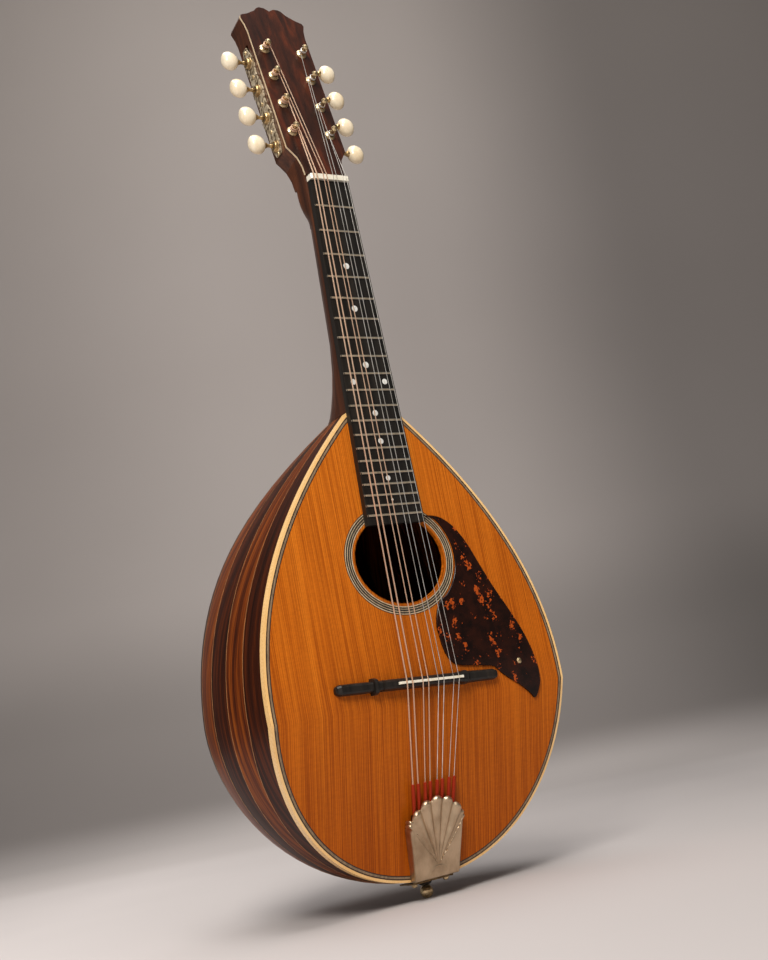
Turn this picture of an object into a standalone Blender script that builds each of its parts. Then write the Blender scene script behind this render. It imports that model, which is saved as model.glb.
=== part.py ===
"""Bowl-back mandola, eight strings in four courses, stood upright on its end pin.

Metres, +Z up along the neck, the soundboard faces -Y, +X is the viewer's right.
Pieces are made in the soundboard frame, whose y is the depth behind the soundboard's
front face, or in the head frame, whose z runs up the face of the leaning head.
"""

import math

import bmesh
import bpy
from mathutils import Matrix, Vector

# Driving dimensions of the body
SCALE_LENGTH = 0.400
TAIL_TO_SADDLE = 0.140
WIDE_ABOVE_TAIL = 0.1376
SHOULDER_REACH = 0.2170
BODY_HALF_WIDTH = 0.1296
LOWER_BOUT_POWER = 2.14
SHOULDER_POWER = 2.02
SHOULDER_DROP = 0.875
BOWL_DEPTH = 0.184
HEEL_DEPTH = 0.045
BOWL_SECTION_POWER = 3.05
BOWL_BULGE = 0.050
TAIL_PROFILE_POWER = 1.55
TAIL_BLUNT_SHARE = 0.09
TAIL_BLUNT_POWER = 8
SHOULDER_PROFILE_POWER = 4.9
STAVE_COUNT = 15
STAVE_THICKNESS = 0.0026
GAP = 0.0003

# The soundboard bends back below the bridge, and all that is fixed to it there bends with it
BEND = math.radians(17.4)
BEND_ABOVE_TAIL = 0.1265
BEND_SOFTNESS = 0.040

# Soundboard and its edge
SOUNDBOARD_THICKNESS = 0.0028
BINDING_WIDTH = 0.0020
BINDING_DEPTH = 0.0055
PURFLING_WIDTH = 0.0022
INLAY_DEPTH = 0.0012
HOLE_CENTRE_ABOVE_TAIL = 0.2328
HOLE_HALF_WIDTH = 0.0393
HOLE_HALF_HEIGHT = 0.0339
ROSETTE_LIP = 0.0012
ROSETTE_WIDTH = 0.0072
LINING_WIDTH = 0.0050
LINING_DEPTH = 0.0050
BRACE_WIDTH = 0.0060
BRACE_HEIGHT = 0.0080
BRACE_HEIGHTS_ABOVE_TAIL = (0.176, 0.284)

# Neck and fingerboard
NUT_HALF_WIDTH = 0.0176
BOARD_END_HALF_WIDTH = 0.0254
BOARD_PAST_LAST_FRET = 0.0070
BOARD_THICKNESS = 0.0050
FRET_COUNT = 20
FRET_WIDTH = 0.0022
FRET_HEIGHT = 0.0010
NUT_LENGTH = 0.0046
NUT_RISE = 0.0018
NECK_DEPTH_AT_NUT = 0.0195
NECK_DEPTH_AT_HEEL = 0.0245
HEEL_LENGTH = 0.058
HEEL_STATIONS = (0.0, 0.1, 0.22, 0.4, 0.65, 1.0)
NECK_EVEN_TO_NUT = 0.070
NECK_IN_HEAD = 0.006

# Head and tuners
HEAD_TILT = math.radians(12.0)
HEAD_THICKNESS = 0.0200
HEAD_HALF_WIDTH = 0.0270
HEAD_CORNER_HALF_WIDTH = 0.0300
HEAD_CORNER_HEIGHT = 0.1660
HEAD_TOP_HEIGHT = 0.1790
HEAD_STRAIGHT_FROM = 0.0280
HEAD_STRAIGHT_TO = 0.1500
VENEER_THICKNESS = 0.0015
POST_X = 0.0175
POST_FIRST = 0.0440
POST_PITCH = 0.0290
POST_RADIUS = 0.0025
POST_RISE = 0.0105
WIND_HEIGHT = 0.0028
WIND_STEP = 0.0005
GEAR_TEETH = 12
GEAR_TIP_RADIUS = 0.0043
GEAR_ROOT_RADIUS = 0.0033
GEAR_THICKNESS = 0.0050
WORM_CORE_RADIUS = 0.0013
WORM_THROW = 0.0006
WORM_TURNS = 3
SHAFT_RADIUS = 0.0014
SHAFT_BORE_RADIUS = 0.0019
MORTISE_ROOF = 0.0060
MORTISE_DEPTH = 0.0090
MORTISE_INNER_X = 0.0110
MORTISE_MARGIN = 0.0110
PLATE_THICKNESS = 0.0014
PLATE_HALF_HEIGHT = 0.0066
PLATE_LOBE = 0.0014
PLATE_MARGIN = 0.0145
BOSS_RADIUS = 0.0036
BOSS_HEIGHT = 0.0022
BUTTON_CENTRE_X = 0.0460
BUTTON_RADIUS = 0.0088
BUTTON_THICKNESS = 0.0058
BUTTON_HALF_LENGTH = 0.0066
KEY_SIDES = 8
POST_SIDES = 9

# Bridge, saddle and strings
BRIDGE_SKEW = math.radians(2.4)
BRIDGE_SHIFT = -0.0060
BRIDGE_HALF_LENGTH = 0.0710
BRIDGE_HEIGHT = 0.0098
SADDLE_HALF_LENGTH = 0.0285
SADDLE_THICKNESS = 0.0018
SADDLE_SINK = 0.0026
STRING_HEIGHT_AT_SADDLE = 0.0118
COURSE_SPACING_AT_NUT = 0.0091
COURSE_SPACING_AT_SADDLE = 0.0137
COURSE_SPACING_AT_TAIL = 0.0096
PAIR_SPACING_AT_NUT = 0.0031
PAIR_SPACING_AT_SADDLE = 0.0048
PAIR_SPACING_AT_TAIL = 0.0044
STRING_RADII = (0.00056, 0.00042, 0.00027, 0.00020)
SILK_RADIUS = 0.00105
STRING_LIFT = 0.0002
NOTCH_CLEARANCE = 0.00025
NOTCH_DEPTH = 0.0007

# Tailpiece, end pin and pickguard
COVER_TOP_ABOVE_TAIL = 0.0587
COVER_BOTTOM_ABOVE_TAIL = 0.0008
COVER_TOP_HALF_WIDTH = 0.0245
COVER_BOTTOM_HALF_WIDTH = 0.0192
COVER_HEIGHT = 0.0100
COVER_WALL = 0.0008
COVER_SLIDE = 0.030
HOOK_ABOVE_TAIL = 0.0400
HOOK_RADIUS = 0.0010
HOOK_HEIGHT = 0.0058
SILK_ABOVE_COVER = 0.0100
BASE_THICKNESS = 0.0010
BASE_MARGIN = 0.0004
FLANGE_DEPTH = 0.0175
PIN_DEPTH = 0.0112
PIN_LENGTH = 0.0240
PIN_BALL_RADIUS = 0.0050
PIN_SHANK_RADIUS = 0.0026
PIN_STEM = 0.0025
SCREW_HEAD_RADIUS = 0.0024
SCREW_SHANK_RADIUS = 0.0010
GUARD_THICKNESS = 0.0014
GUARD_SCREW_SHARE = 0.683
GUARD_SCREW_ABOVE_TAIL = 0.1445

# Places worked out from the dimensions above
TAIL_Z = 2 * PIN_BALL_RADIUS + PIN_STEM + BASE_THICKNESS + GAP
SADDLE_Z = TAIL_Z + TAIL_TO_SADDLE
NUT_Z = SADDLE_Z + SCALE_LENGTH
WIDE_Z = TAIL_Z + WIDE_ABOVE_TAIL
BEND_Z = TAIL_Z + BEND_ABOVE_TAIL
HOLE_Z = TAIL_Z + HOLE_CENTRE_ABOVE_TAIL
BOARD_END_Z = SADDLE_Z + SCALE_LENGTH * 2 ** (-FRET_COUNT / 12) - BOARD_PAST_LAST_FRET
BOARD_TOP = GAP + BOARD_THICKNESS
STRING_HEIGHT_AT_NUT = BOARD_TOP + NUT_RISE
GEAR_DEPTH = MORTISE_ROOF + MORTISE_DEPTH / 2
TAIL_HALF_SPREAD = 1.5 * COURSE_SPACING_AT_TAIL + PAIR_SPACING_AT_TAIL / 2
BASE_HALF_WIDTH = TAIL_HALF_SPREAD + HOOK_RADIUS + BASE_MARGIN
WORM_OFFSET = GEAR_TIP_RADIUS + WORM_CORE_RADIUS + WORM_THROW + GAP
HEAD_BASE_Z = NUT_Z + NUT_LENGTH + GAP
PLATE_X = HEAD_HALF_WIDTH + GAP
POST_HEIGHTS = [POST_FIRST + i * POST_PITCH for i in range(4)]
BAND_POINTS = 26
NORMAL_STEP = 1e-4
STAVE_END_ANGLE = math.radians(83.0)

MATERIALS = {
    "spruce": ((0.50, 0.17, 0.035), 0.38, 0.0),
    "rosewood": ((0.085, 0.026, 0.014), 0.34, 0.0),
    "light_rosewood": ((0.17, 0.048, 0.020), 0.34, 0.0),
    "mahogany": ((0.12, 0.045, 0.022), 0.40, 0.0),
    "ebony": ((0.012, 0.011, 0.011), 0.38, 0.0),
    "binding": ((0.90, 0.62, 0.30), 0.35, 0.0),
    "purfling": ((0.20, 0.11, 0.06), 0.45, 0.0),
    "bone": ((0.85, 0.80, 0.68), 0.35, 0.0),
    "ivory": ((0.92, 0.80, 0.62), 0.28, 0.0),
    "tortoise": ((0.035, 0.012, 0.010), 0.18, 0.0),
    "brass": ((0.42, 0.30, 0.15), 0.38, 1.0),
    "nickel": ((0.42, 0.36, 0.29), 0.34, 1.0),
    "bronze_string": ((0.62, 0.36, 0.20), 0.35, 1.0),
    "steel_string": ((0.62, 0.60, 0.56), 0.28, 1.0),
}


def clear_scene():
    for item in list(bpy.data.objects):
        bpy.data.objects.remove(item, do_unlink=True)


def make_collection(name):
    group = bpy.data.collections.new(name)
    bpy.context.scene.collection.children.link(group)
    return group


def make_material(name):
    colour, roughness, metallic = MATERIALS[name]
    material = bpy.data.materials.new(name)
    material.use_nodes = True
    shader = material.node_tree.nodes["Principled BSDF"]
    shader.inputs["Base Color"].default_value = (*colour, 1.0)
    shader.inputs["Roughness"].default_value = roughness
    shader.inputs["Metallic"].default_value = metallic
    return material


clear_scene()
PARTS = make_collection("mandola")
CUTTERS = make_collection("cutters")


def make_frame(name, location, tilt=0.0):
    frame = bpy.data.objects.new(name, None)
    frame.location = location
    frame.rotation_euler = (tilt, 0.0, 0.0)
    frame.empty_display_size = 0.03
    PARTS.objects.link(frame)
    return frame


def finish(mesh, name, finish_name, frame=None, smooth=30.0):
    """Link a mesh as a named part in its frame, with a material of its own."""
    item = bpy.data.objects.new(name, mesh)
    PARTS.objects.link(item)
    item.parent = frame or BODY_FRAME
    material = make_material(finish_name)
    material.name = name + "_" + finish_name
    mesh.materials.clear()
    mesh.materials.append(material)
    mesh.shade_smooth()
    mesh.set_sharp_from_angle(angle=math.radians(smooth))
    return item


def as_cutter(item):
    """Move a part out of the model, so that it only cuts or joins others."""
    PARTS.objects.unlink(item)
    CUTTERS.objects.link(item)
    item.hide_render = True
    item.display_type = "WIRE"
    return item


def boolean(target, other, operation):
    modifier = target.modifiers.new(operation.lower(), "BOOLEAN")
    modifier.operation = operation
    modifier.solver = "EXACT"
    modifier.object = other


def cut(target, *cutters):
    for cutter in cutters:
        boolean(target, cutter, "DIFFERENCE")


def join(target, *others):
    for other in others:
        boolean(target, other, "UNION")


def loft_mesh(rings):
    """Skin closed rings of equal length and close both ends."""
    work = bmesh.new()
    made = [[work.verts.new(point) for point in ring] for ring in rings]
    count = len(rings[0])
    for low, high in zip(made, made[1:]):
        for i in range(count):
            j = (i + 1) % count
            work.faces.new((low[i], low[j], high[j], high[i]))
    work.faces.new(made[0])
    work.faces.new(made[-1])
    bmesh.ops.recalc_face_normals(work, faces=work.faces)
    mesh = bpy.data.meshes.new("loft")
    work.to_mesh(mesh)
    work.free()
    return mesh


def weld(mesh):
    work = bmesh.new()
    work.from_mesh(mesh)
    bmesh.ops.remove_doubles(work, verts=work.verts, dist=1e-6)
    bmesh.ops.recalc_face_normals(work, faces=work.faces)
    work.to_mesh(mesh)
    work.free()
    return mesh


def curve_mesh(curve):
    """The welded mesh of a curve, so that it can be cut and joined."""
    item = bpy.data.objects.new("outline", curve)
    bpy.context.scene.collection.objects.link(item)
    graph = bpy.context.evaluated_depsgraph_get()
    mesh = bpy.data.meshes.new_from_object(item.evaluated_get(graph))
    bpy.data.objects.remove(item, do_unlink=True)
    return weld(mesh)


def plate_mesh(outlines, front, back, kind="POLY", resolution=4):
    """A flat plate in the x-z plane between two depths; later outlines are holes."""
    curve = bpy.data.curves.new("plate", "CURVE")
    curve.dimensions = "2D"
    curve.fill_mode = "BOTH"
    curve.extrude = (back - front) / 2
    curve.resolution_u = resolution
    for outline in outlines:
        spline = curve.splines.new(kind)
        if kind == "POLY":
            spline.points.add(len(outline) - 1)
            for point, (x, z) in zip(spline.points, outline):
                point.co = (x, z, 0.0, 1.0)
        else:
            spline.bezier_points.add(len(outline) - 1)
            for point, (x, z) in zip(spline.bezier_points, outline):
                point.co = (x, z, 0.0)
                point.handle_left_type = "AUTO"
                point.handle_right_type = "AUTO"
        spline.use_cyclic_u = True
    mesh = curve_mesh(curve)
    mesh.transform(Matrix.Rotation(math.pi / 2, 4, "X"))
    mesh.transform(Matrix.Translation((0.0, (front + back) / 2, 0.0)))
    return mesh


def box_mesh(low, high):
    work = bmesh.new()
    bmesh.ops.create_cube(work, size=1.0)
    size = Vector(high) - Vector(low)
    bmesh.ops.scale(work, vec=size, verts=work.verts)
    bmesh.ops.translate(work, vec=(Vector(low) + Vector(high)) / 2, verts=work.verts)
    mesh = bpy.data.meshes.new("box")
    work.to_mesh(mesh)
    work.free()
    return mesh


def rod_mesh(radius, start, end, sides=12):
    """A cylinder between two points."""
    axis = Vector(end) - Vector(start)
    work = bmesh.new()
    sizes = {"segments": sides, "radius1": radius, "radius2": radius, "depth": axis.length}
    bmesh.ops.create_cone(work, cap_ends=True, **sizes)
    turn = axis.to_track_quat("Z", "Y").to_matrix().to_4x4()
    middle = Matrix.Translation((Vector(start) + Vector(end)) / 2)
    bmesh.ops.transform(work, matrix=middle @ turn, verts=work.verts)
    mesh = bpy.data.meshes.new("rod")
    work.to_mesh(mesh)
    work.free()
    return mesh


def turned(name, profile, finish_name, frame, steps=12):
    """Turn a profile of (radius, height) points, top to bottom, round its local Z."""
    mesh = bpy.data.meshes.new(name)
    points = [(radius, 0.0, height) for radius, height in profile]
    mesh.from_pydata(points, [(i, i + 1) for i in range(len(points) - 1)], [])
    item = finish(mesh, name, finish_name, frame)
    screw = item.modifiers.new("turn", "SCREW")
    screw.steps = steps
    screw.render_steps = steps
    screw.use_merge_vertices = True
    screw.merge_threshold = 0.00001
    return item


def cutter(mesh, name, frame=None):
    return as_cutter(finish(mesh, name, "ebony", frame))


def fall(z):
    """How far the face has fallen back at a height below the bend."""
    return math.tan(BEND) * max(0.0, BEND_Z - z)


def soft_fall(z):
    """The same fall with the bend rounded off, for the staves' joints."""
    below = BEND_Z - z
    return math.tan(BEND) * (below + math.hypot(below, BEND_SOFTNESS)) / 2


def bend(item):
    """Give a finished part its bend below the bridge: a split at the bend, then the fall."""
    graph = bpy.context.evaluated_depsgraph_get()
    mesh = bpy.data.meshes.new_from_object(item.evaluated_get(graph))
    item.modifiers.clear()
    work = bmesh.new()
    work.from_mesh(mesh)
    crossing = [
        face for face in work.faces
        if min(v.co.z for v in face.verts) < BEND_Z < max(v.co.z for v in face.verts)
    ]
    bmesh.ops.triangulate(work, faces=crossing)
    every = work.verts[:] + work.edges[:] + work.faces[:]
    split = bmesh.ops.bisect_plane(work, geom=every, plane_co=(0.0, 0.0, BEND_Z), plane_no=(0.0, 0.0, 1.0))
    for piece in split["geom_cut"]:
        if isinstance(piece, bmesh.types.BMEdge):
            piece.smooth = False
    for vert in work.verts:
        vert.co.y += fall(vert.co.z)
    work.to_mesh(mesh)
    work.free()
    item.data = mesh
    return item


# The body's outline and the bowl's surface

def half_width(z):
    """Half the body's width over the binding at a height."""
    if z <= WIDE_Z:
        share = min(1.0, (WIDE_Z - z) / WIDE_ABOVE_TAIL)
        return BODY_HALF_WIDTH * (1 - share ** LOWER_BOUT_POWER) ** (1 / LOWER_BOUT_POWER)
    share = (z - WIDE_Z) / SHOULDER_REACH
    return BODY_HALF_WIDTH * (1 - SHOULDER_DROP * share ** SHOULDER_POWER)


def board_half_width(z):
    share = (NUT_Z - z) / (NUT_Z - BOARD_END_Z)
    return NUT_HALF_WIDTH + (BOARD_END_HALF_WIDTH - NUT_HALF_WIDTH) * share


def find_joint():
    """The height where the shoulders have drawn in to the width of the neck."""
    low, high = WIDE_Z, WIDE_Z + SHOULDER_REACH
    for _ in range(40):
        middle = (low + high) / 2
        if half_width(middle) > board_half_width(middle):
            low = middle
        else:
            high = middle
    return (low + high) / 2


JOINT_Z = find_joint()


def depth_at(z):
    """How deep the bowl is behind the soundboard's face at a height."""
    if z <= WIDE_Z:
        share = min(1.0, (WIDE_Z - z) / WIDE_ABOVE_TAIL)
        long_curve = (1 - share ** TAIL_PROFILE_POWER) ** (1 / TAIL_PROFILE_POWER)
        blunt_end = (1 - share ** TAIL_BLUNT_POWER) ** (1 / TAIL_BLUNT_POWER)
        curve = long_curve + (blunt_end - long_curve) * TAIL_BLUNT_SHARE
        return fall(z) + (BOWL_DEPTH - fall(z)) * curve
    share = (z - WIDE_Z) / (JOINT_Z - WIDE_Z)
    return BOWL_DEPTH - (BOWL_DEPTH - HEEL_DEPTH) * share ** SHOULDER_PROFILE_POWER


def side_heights():
    """Heights up one side, close together where the outline turns quickly."""
    lower = [WIDE_Z - WIDE_ABOVE_TAIL * math.cos(math.pi / 2 * i / 12) for i in range(12)]
    upper = [WIDE_Z + (JOINT_Z - WIDE_Z) * i / 12 for i in range(13)]
    return lower + upper


def outline(inset, top_inset=0.0):
    """The body's closed outline, drawn in by an inset measured square to the edge."""
    heights = side_heights()
    right = [Vector((half_width(z), z)) for z in heights]
    points = []
    for i, point in enumerate(right):
        before = right[i - 1] if i else Vector((-right[1].x, right[1].y))
        after = right[min(i + 1, len(right) - 1)]
        along = (after - before).normalized()
        points.append(point + inset * Vector((-along.y, along.x)))
    points[0].x = 0.0
    points[-1].y = JOINT_Z - top_inset
    left = [Vector((-point.x, point.y)) for point in reversed(points[1:])]
    return [tuple(point) for point in points + left]


def share_of_reach(z):
    """How near a height is to the tail or the neck: 0 at the bend, 1 at either end."""
    if z < BEND_Z:
        return ((BEND_Z - z) / BEND_ABOVE_TAIL) ** 2
    return min(1.0, (z - BEND_Z) / (JOINT_Z - BEND_Z)) ** 2


def bowl_point(turn, z):
    """A point of the bowl's outer surface: turn runs from the right rim to the left."""
    inward = abs(math.sin(turn)) ** (2 / BOWL_SECTION_POWER)
    back = fall(z) + (soft_fall(z) - fall(z)) * min(1.0, 3 * inward) * (1 - share_of_reach(z))
    rim = BINDING_DEPTH + GAP + back
    width = half_width(z)
    depth = max(depth_at(z), rim + 1e-4)
    across = math.copysign(abs(math.cos(turn)) ** (2 / BOWL_SECTION_POWER), math.cos(turn))
    bulge = BOWL_BULGE * math.sin(2 * turn)
    return Vector((width * (across + bulge), rim + (depth - rim) * inward, z))


def bowl_normal(turn, z):
    """The bowl's outward normal, from small steps round and along the surface."""
    step = NORMAL_STEP
    round_it = bowl_point(min(turn + step, math.pi), z) - bowl_point(max(turn - step, 0.0), z)
    reach = min(step, 0.2 * (z - TAIL_Z))
    along = bowl_point(turn, z + reach) - bowl_point(turn, z - reach)
    normal = along.cross(round_it).normalized()
    centre = Vector((0.0, 0.3 * depth_at(WIDE_Z), WIDE_Z))
    if normal.dot(bowl_point(turn, z) - centre) < 0:
        normal.negate()
    return normal


def stave_turns():
    """Where the stave joints fall: equal shares of the girth at the widest height."""
    samples = 600
    turns = [math.pi * i / samples for i in range(samples + 1)]
    points = [bowl_point(turn, WIDE_Z) for turn in turns]
    lengths = [0.0]
    for a, b in zip(points, points[1:]):
        lengths.append(lengths[-1] + (b - a).length)
    joints = []
    for k in range(STAVE_COUNT + 1):
        wanted = lengths[-1] * k / STAVE_COUNT
        i = min(range(samples + 1), key=lambda n: abs(lengths[n] - wanted))
        joints.append(turns[i])
    return joints


def face_place():
    """Where the soundboard's face goes, so that the whole instrument is centred in Y."""
    front = STRING_HEIGHT_AT_SADDLE + 2 * STRING_RADII[0] + STRING_LIFT
    back = max(bowl_point(turn, WIDE_Z).y for turn in stave_turns())
    return (front - back) / 2


FACE_Y = face_place()
BODY_FRAME = make_frame("soundboard_frame", (0.0, FACE_Y, 0.0))
HEAD_FRAME = make_frame("head_frame", (0.0, FACE_Y, HEAD_BASE_Z), -HEAD_TILT)


def stave_heights():
    lower = [WIDE_Z - WIDE_ABOVE_TAIL * math.sin(STAVE_END_ANGLE * (1 - i / 9)) for i in range(9)]
    lower.append(BEND_Z)
    upper = [WIDE_Z + (JOINT_Z - GAP - WIDE_Z) * i / 10 for i in range(11)]
    return lower + upper


def make_staves():
    turns = stave_turns()
    staves = []
    for k in range(STAVE_COUNT):
        rings = []
        for z in stave_heights():
            right = bowl_point(turns[k], z)
            left = bowl_point(turns[k + 1], z)
            across = (left - right).normalized() * (GAP / 2)
            right_in = bowl_normal(turns[k], z) * STAVE_THICKNESS
            left_in = bowl_normal(turns[k + 1], z) * STAVE_THICKNESS
            rings.append((right + across, left - across, left - across - left_in, right + across - right_in))
        wood = "rosewood" if k % 2 else "light_rosewood"
        staves.append(finish(loft_mesh(rings), "stave_%02d" % (k + 1), wood, smooth=60.0))
    return staves


def shell_ring(z, inset, front, flat=None):
    """A closed ring inside the staves at a height, cut off flat along its front."""
    ring = []
    for turn in stave_turns():
        point = bowl_point(turn, z) - bowl_normal(turn, z) * inset
        if flat is not None:
            point.z = flat
        point.y = max(point.y, front + fall(point.z))
        ring.append(point)
    return ring


def ellipse(half_x, half_z, count=28):
    return [
        (half_x * math.cos(2 * math.pi * i / count), HOLE_Z + half_z * math.sin(2 * math.pi * i / count))
        for i in range(count)
    ]


def make_soundboard():
    """The board: a full plate behind, and in front of it all but the inlays' channels."""
    edge = BINDING_WIDTH + GAP
    inner = edge + PURFLING_WIDTH + GAP
    step = INLAY_DEPTH + GAP
    overlap = step + 0.0005
    lip = ROSETTE_LIP - GAP
    wide = ROSETTE_LIP + ROSETTE_WIDTH + GAP
    board = finish(plate_mesh([outline(edge, edge)], step, SOUNDBOARD_THICKNESS), "soundboard", "spruce")
    channel = ellipse(HOLE_HALF_WIDTH + wide, HOLE_HALF_HEIGHT + wide)
    field = plate_mesh([outline(inner, inner), channel], 0.0, overlap)
    rim = plate_mesh([ellipse(HOLE_HALF_WIDTH + lip, HOLE_HALF_HEIGHT + lip)], 0.0, overlap)
    join(board, cutter(field, "board_field"), cutter(rim, "hole_rim"))
    hole = plate_mesh([ellipse(HOLE_HALF_WIDTH, HOLE_HALF_HEIGHT)], -0.01, 0.01)
    cut(board, cutter(hole, "sound_hole"))
    return bend(board)


def make_edge():
    binding = [outline(0.0), outline(BINDING_WIDTH, BINDING_WIDTH)]
    bend(finish(plate_mesh(binding, 0.0, BINDING_DEPTH), "edge_binding", "binding"))
    edge = BINDING_WIDTH + GAP
    inner = edge + PURFLING_WIDTH
    purfling = [outline(edge, edge), outline(inner, inner)]
    bend(finish(plate_mesh(purfling, 0.0, INLAY_DEPTH), "purfling", "purfling"))


def make_rosette():
    wide = ROSETTE_LIP + ROSETTE_WIDTH
    rings = [
        ellipse(HOLE_HALF_WIDTH + wide, HOLE_HALF_HEIGHT + wide),
        ellipse(HOLE_HALF_WIDTH + ROSETTE_LIP, HOLE_HALF_HEIGHT + ROSETTE_LIP),
    ]
    finish(plate_mesh(rings, 0.0, INLAY_DEPTH), "rosette", "ebony")


def lining_inset():
    return STAVE_THICKNESS + 2 * GAP


def make_lining():
    outer = lining_inset()
    inner = outer + LINING_WIDTH
    front = SOUNDBOARD_THICKNESS + GAP
    strip = plate_mesh([outline(outer, outer), outline(inner, inner)], front, front + LINING_DEPTH)
    bend(finish(strip, "rim_lining", "mahogany"))


def inner_half_width(z, inset):
    """Half the width left at a height inside a rim of the given breadth."""
    slope = (half_width(z + 0.001) - half_width(z - 0.001)) / 0.002
    return half_width(z) - inset * math.sqrt(1 + slope * slope) - GAP


def make_braces():
    for number, above_tail in enumerate(BRACE_HEIGHTS_ABOVE_TAIL, 1):
        z = TAIL_Z + above_tail
        inset = lining_inset() + LINING_WIDTH + GAP
        upper_reach = inner_half_width(z + BRACE_WIDTH / 2, inset)
        lower_reach = inner_half_width(z - BRACE_WIDTH / 2, inset)
        reach = min(upper_reach, lower_reach)
        front = SOUNDBOARD_THICKNESS + GAP
        tip = BRACE_HEIGHT * 0.45
        sides = ((reach, tip), (reach * 0.75, BRACE_HEIGHT))
        profile = [(-x, front + deep) for x, deep in sides]
        profile += [(x, front + deep) for x, deep in reversed(sides)]
        profile = [(-reach, front)] + profile + [(reach, front)]
        rings = [[(x, y, z + end) for x, y in profile] for end in (-BRACE_WIDTH / 2, BRACE_WIDTH / 2)]
        finish(loft_mesh(rings), "brace_%d" % number, "spruce")


def block_front():
    return SOUNDBOARD_THICKNESS + LINING_DEPTH + 2 * GAP


def pin_place():
    """How far behind the upper soundboard's face the upright end pin stands."""
    return PIN_DEPTH + fall(TAIL_Z)


def make_tail_block():
    heights = stave_heights()
    front = block_front()
    inset = STAVE_THICKNESS + 2 * GAP
    depth = depth_at(heights[0]) - fall(heights[0])
    centre = Vector((0.0, fall(heights[0]) + front + 0.3 * depth, heights[0]))
    mouth = []
    throat = []
    for turn in stave_turns():
        outer = bowl_point(turn, heights[0])
        inward = (centre - outer).normalized() * 1.5 * GAP
        step = bowl_normal(turn, heights[0]) * STAVE_THICKNESS
        for ring, point in ((mouth, outer + inward), (throat, outer - step + inward)):
            point.y = max(point.y, front + fall(point.z))
            ring.append(point)
    rings = [mouth, throat]
    for z in heights[1:4]:
        rings.append(shell_ring(z, inset, front))
    top = max(point.z for point in rings[-1]) + 0.001
    rings.append(shell_ring(heights[3], inset + 0.002, front, top))
    block = finish(loft_mesh(rings), "tail_block", "mahogany")
    place = pin_place()
    pin_bore = rod_mesh(PIN_SHANK_RADIUS + GAP, (0, place, 0), (0, place, TAIL_Z + PIN_LENGTH + GAP))
    cut(block, cutter(pin_bore, "pin_bore"))
    return block


# Neck, head and fingerboard

def neck_depth(z):
    share = (z - JOINT_Z) / (NUT_Z - JOINT_Z)
    plain = NECK_DEPTH_AT_HEEL + (NECK_DEPTH_AT_NUT - NECK_DEPTH_AT_HEEL) * share
    heel = max(0.0, 1 - (z - JOINT_Z) / HEEL_LENGTH)
    return plain + (HEEL_DEPTH - NECK_DEPTH_AT_HEEL) * heel ** 2.4


def neck_ring(z, width, depth, power, front=0.0):
    ring = []
    for turn in stave_turns():
        across = math.copysign(abs(math.cos(turn)) ** (2 / power), math.cos(turn))
        ring.append((width * across, max(depth * abs(math.sin(turn)) ** (2 / power), front), z))
    return ring


def head_outline():
    """The head's outline from the nut upward: waist, straight sides, corners and two lobes."""
    waist = [(NUT_HALF_WIDTH + 0.0004, 0.0), (NUT_HALF_WIDTH + 0.0006, 0.010)]
    waist.append((NUT_HALF_WIDTH + 0.0028, 0.0185))
    shoulder = [(HEAD_HALF_WIDTH - 0.0026, HEAD_STRAIGHT_FROM - 0.0035)]
    shoulder.append((HEAD_HALF_WIDTH, HEAD_STRAIGHT_FROM))
    side = [(HEAD_HALF_WIDTH, HEAD_STRAIGHT_TO), (HEAD_HALF_WIDTH + 0.0010, HEAD_STRAIGHT_TO + 0.0080)]
    corner = [
        (HEAD_CORNER_HALF_WIDTH, HEAD_CORNER_HEIGHT - 0.0015),
        (HEAD_CORNER_HALF_WIDTH - 0.0008, HEAD_CORNER_HEIGHT + 0.0010),
        (HEAD_CORNER_HALF_WIDTH - 0.0075, HEAD_CORNER_HEIGHT + 0.0035),
        (0.0150, HEAD_TOP_HEIGHT - 0.0050),
    ]
    lobe = [(0.0118, HEAD_TOP_HEIGHT - 0.0014), (0.0090, HEAD_TOP_HEIGHT)]
    lobe.append((0.0045, HEAD_TOP_HEIGHT - 0.0003))
    notch = [(0.0016, HEAD_TOP_HEIGHT - 0.0020)]
    right = waist + shoulder + side + corner + lobe + notch
    middle = [(0.0, HEAD_TOP_HEIGHT - 0.0032)]
    return right + middle + [(-x, s) for x, s in reversed(right)]


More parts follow.
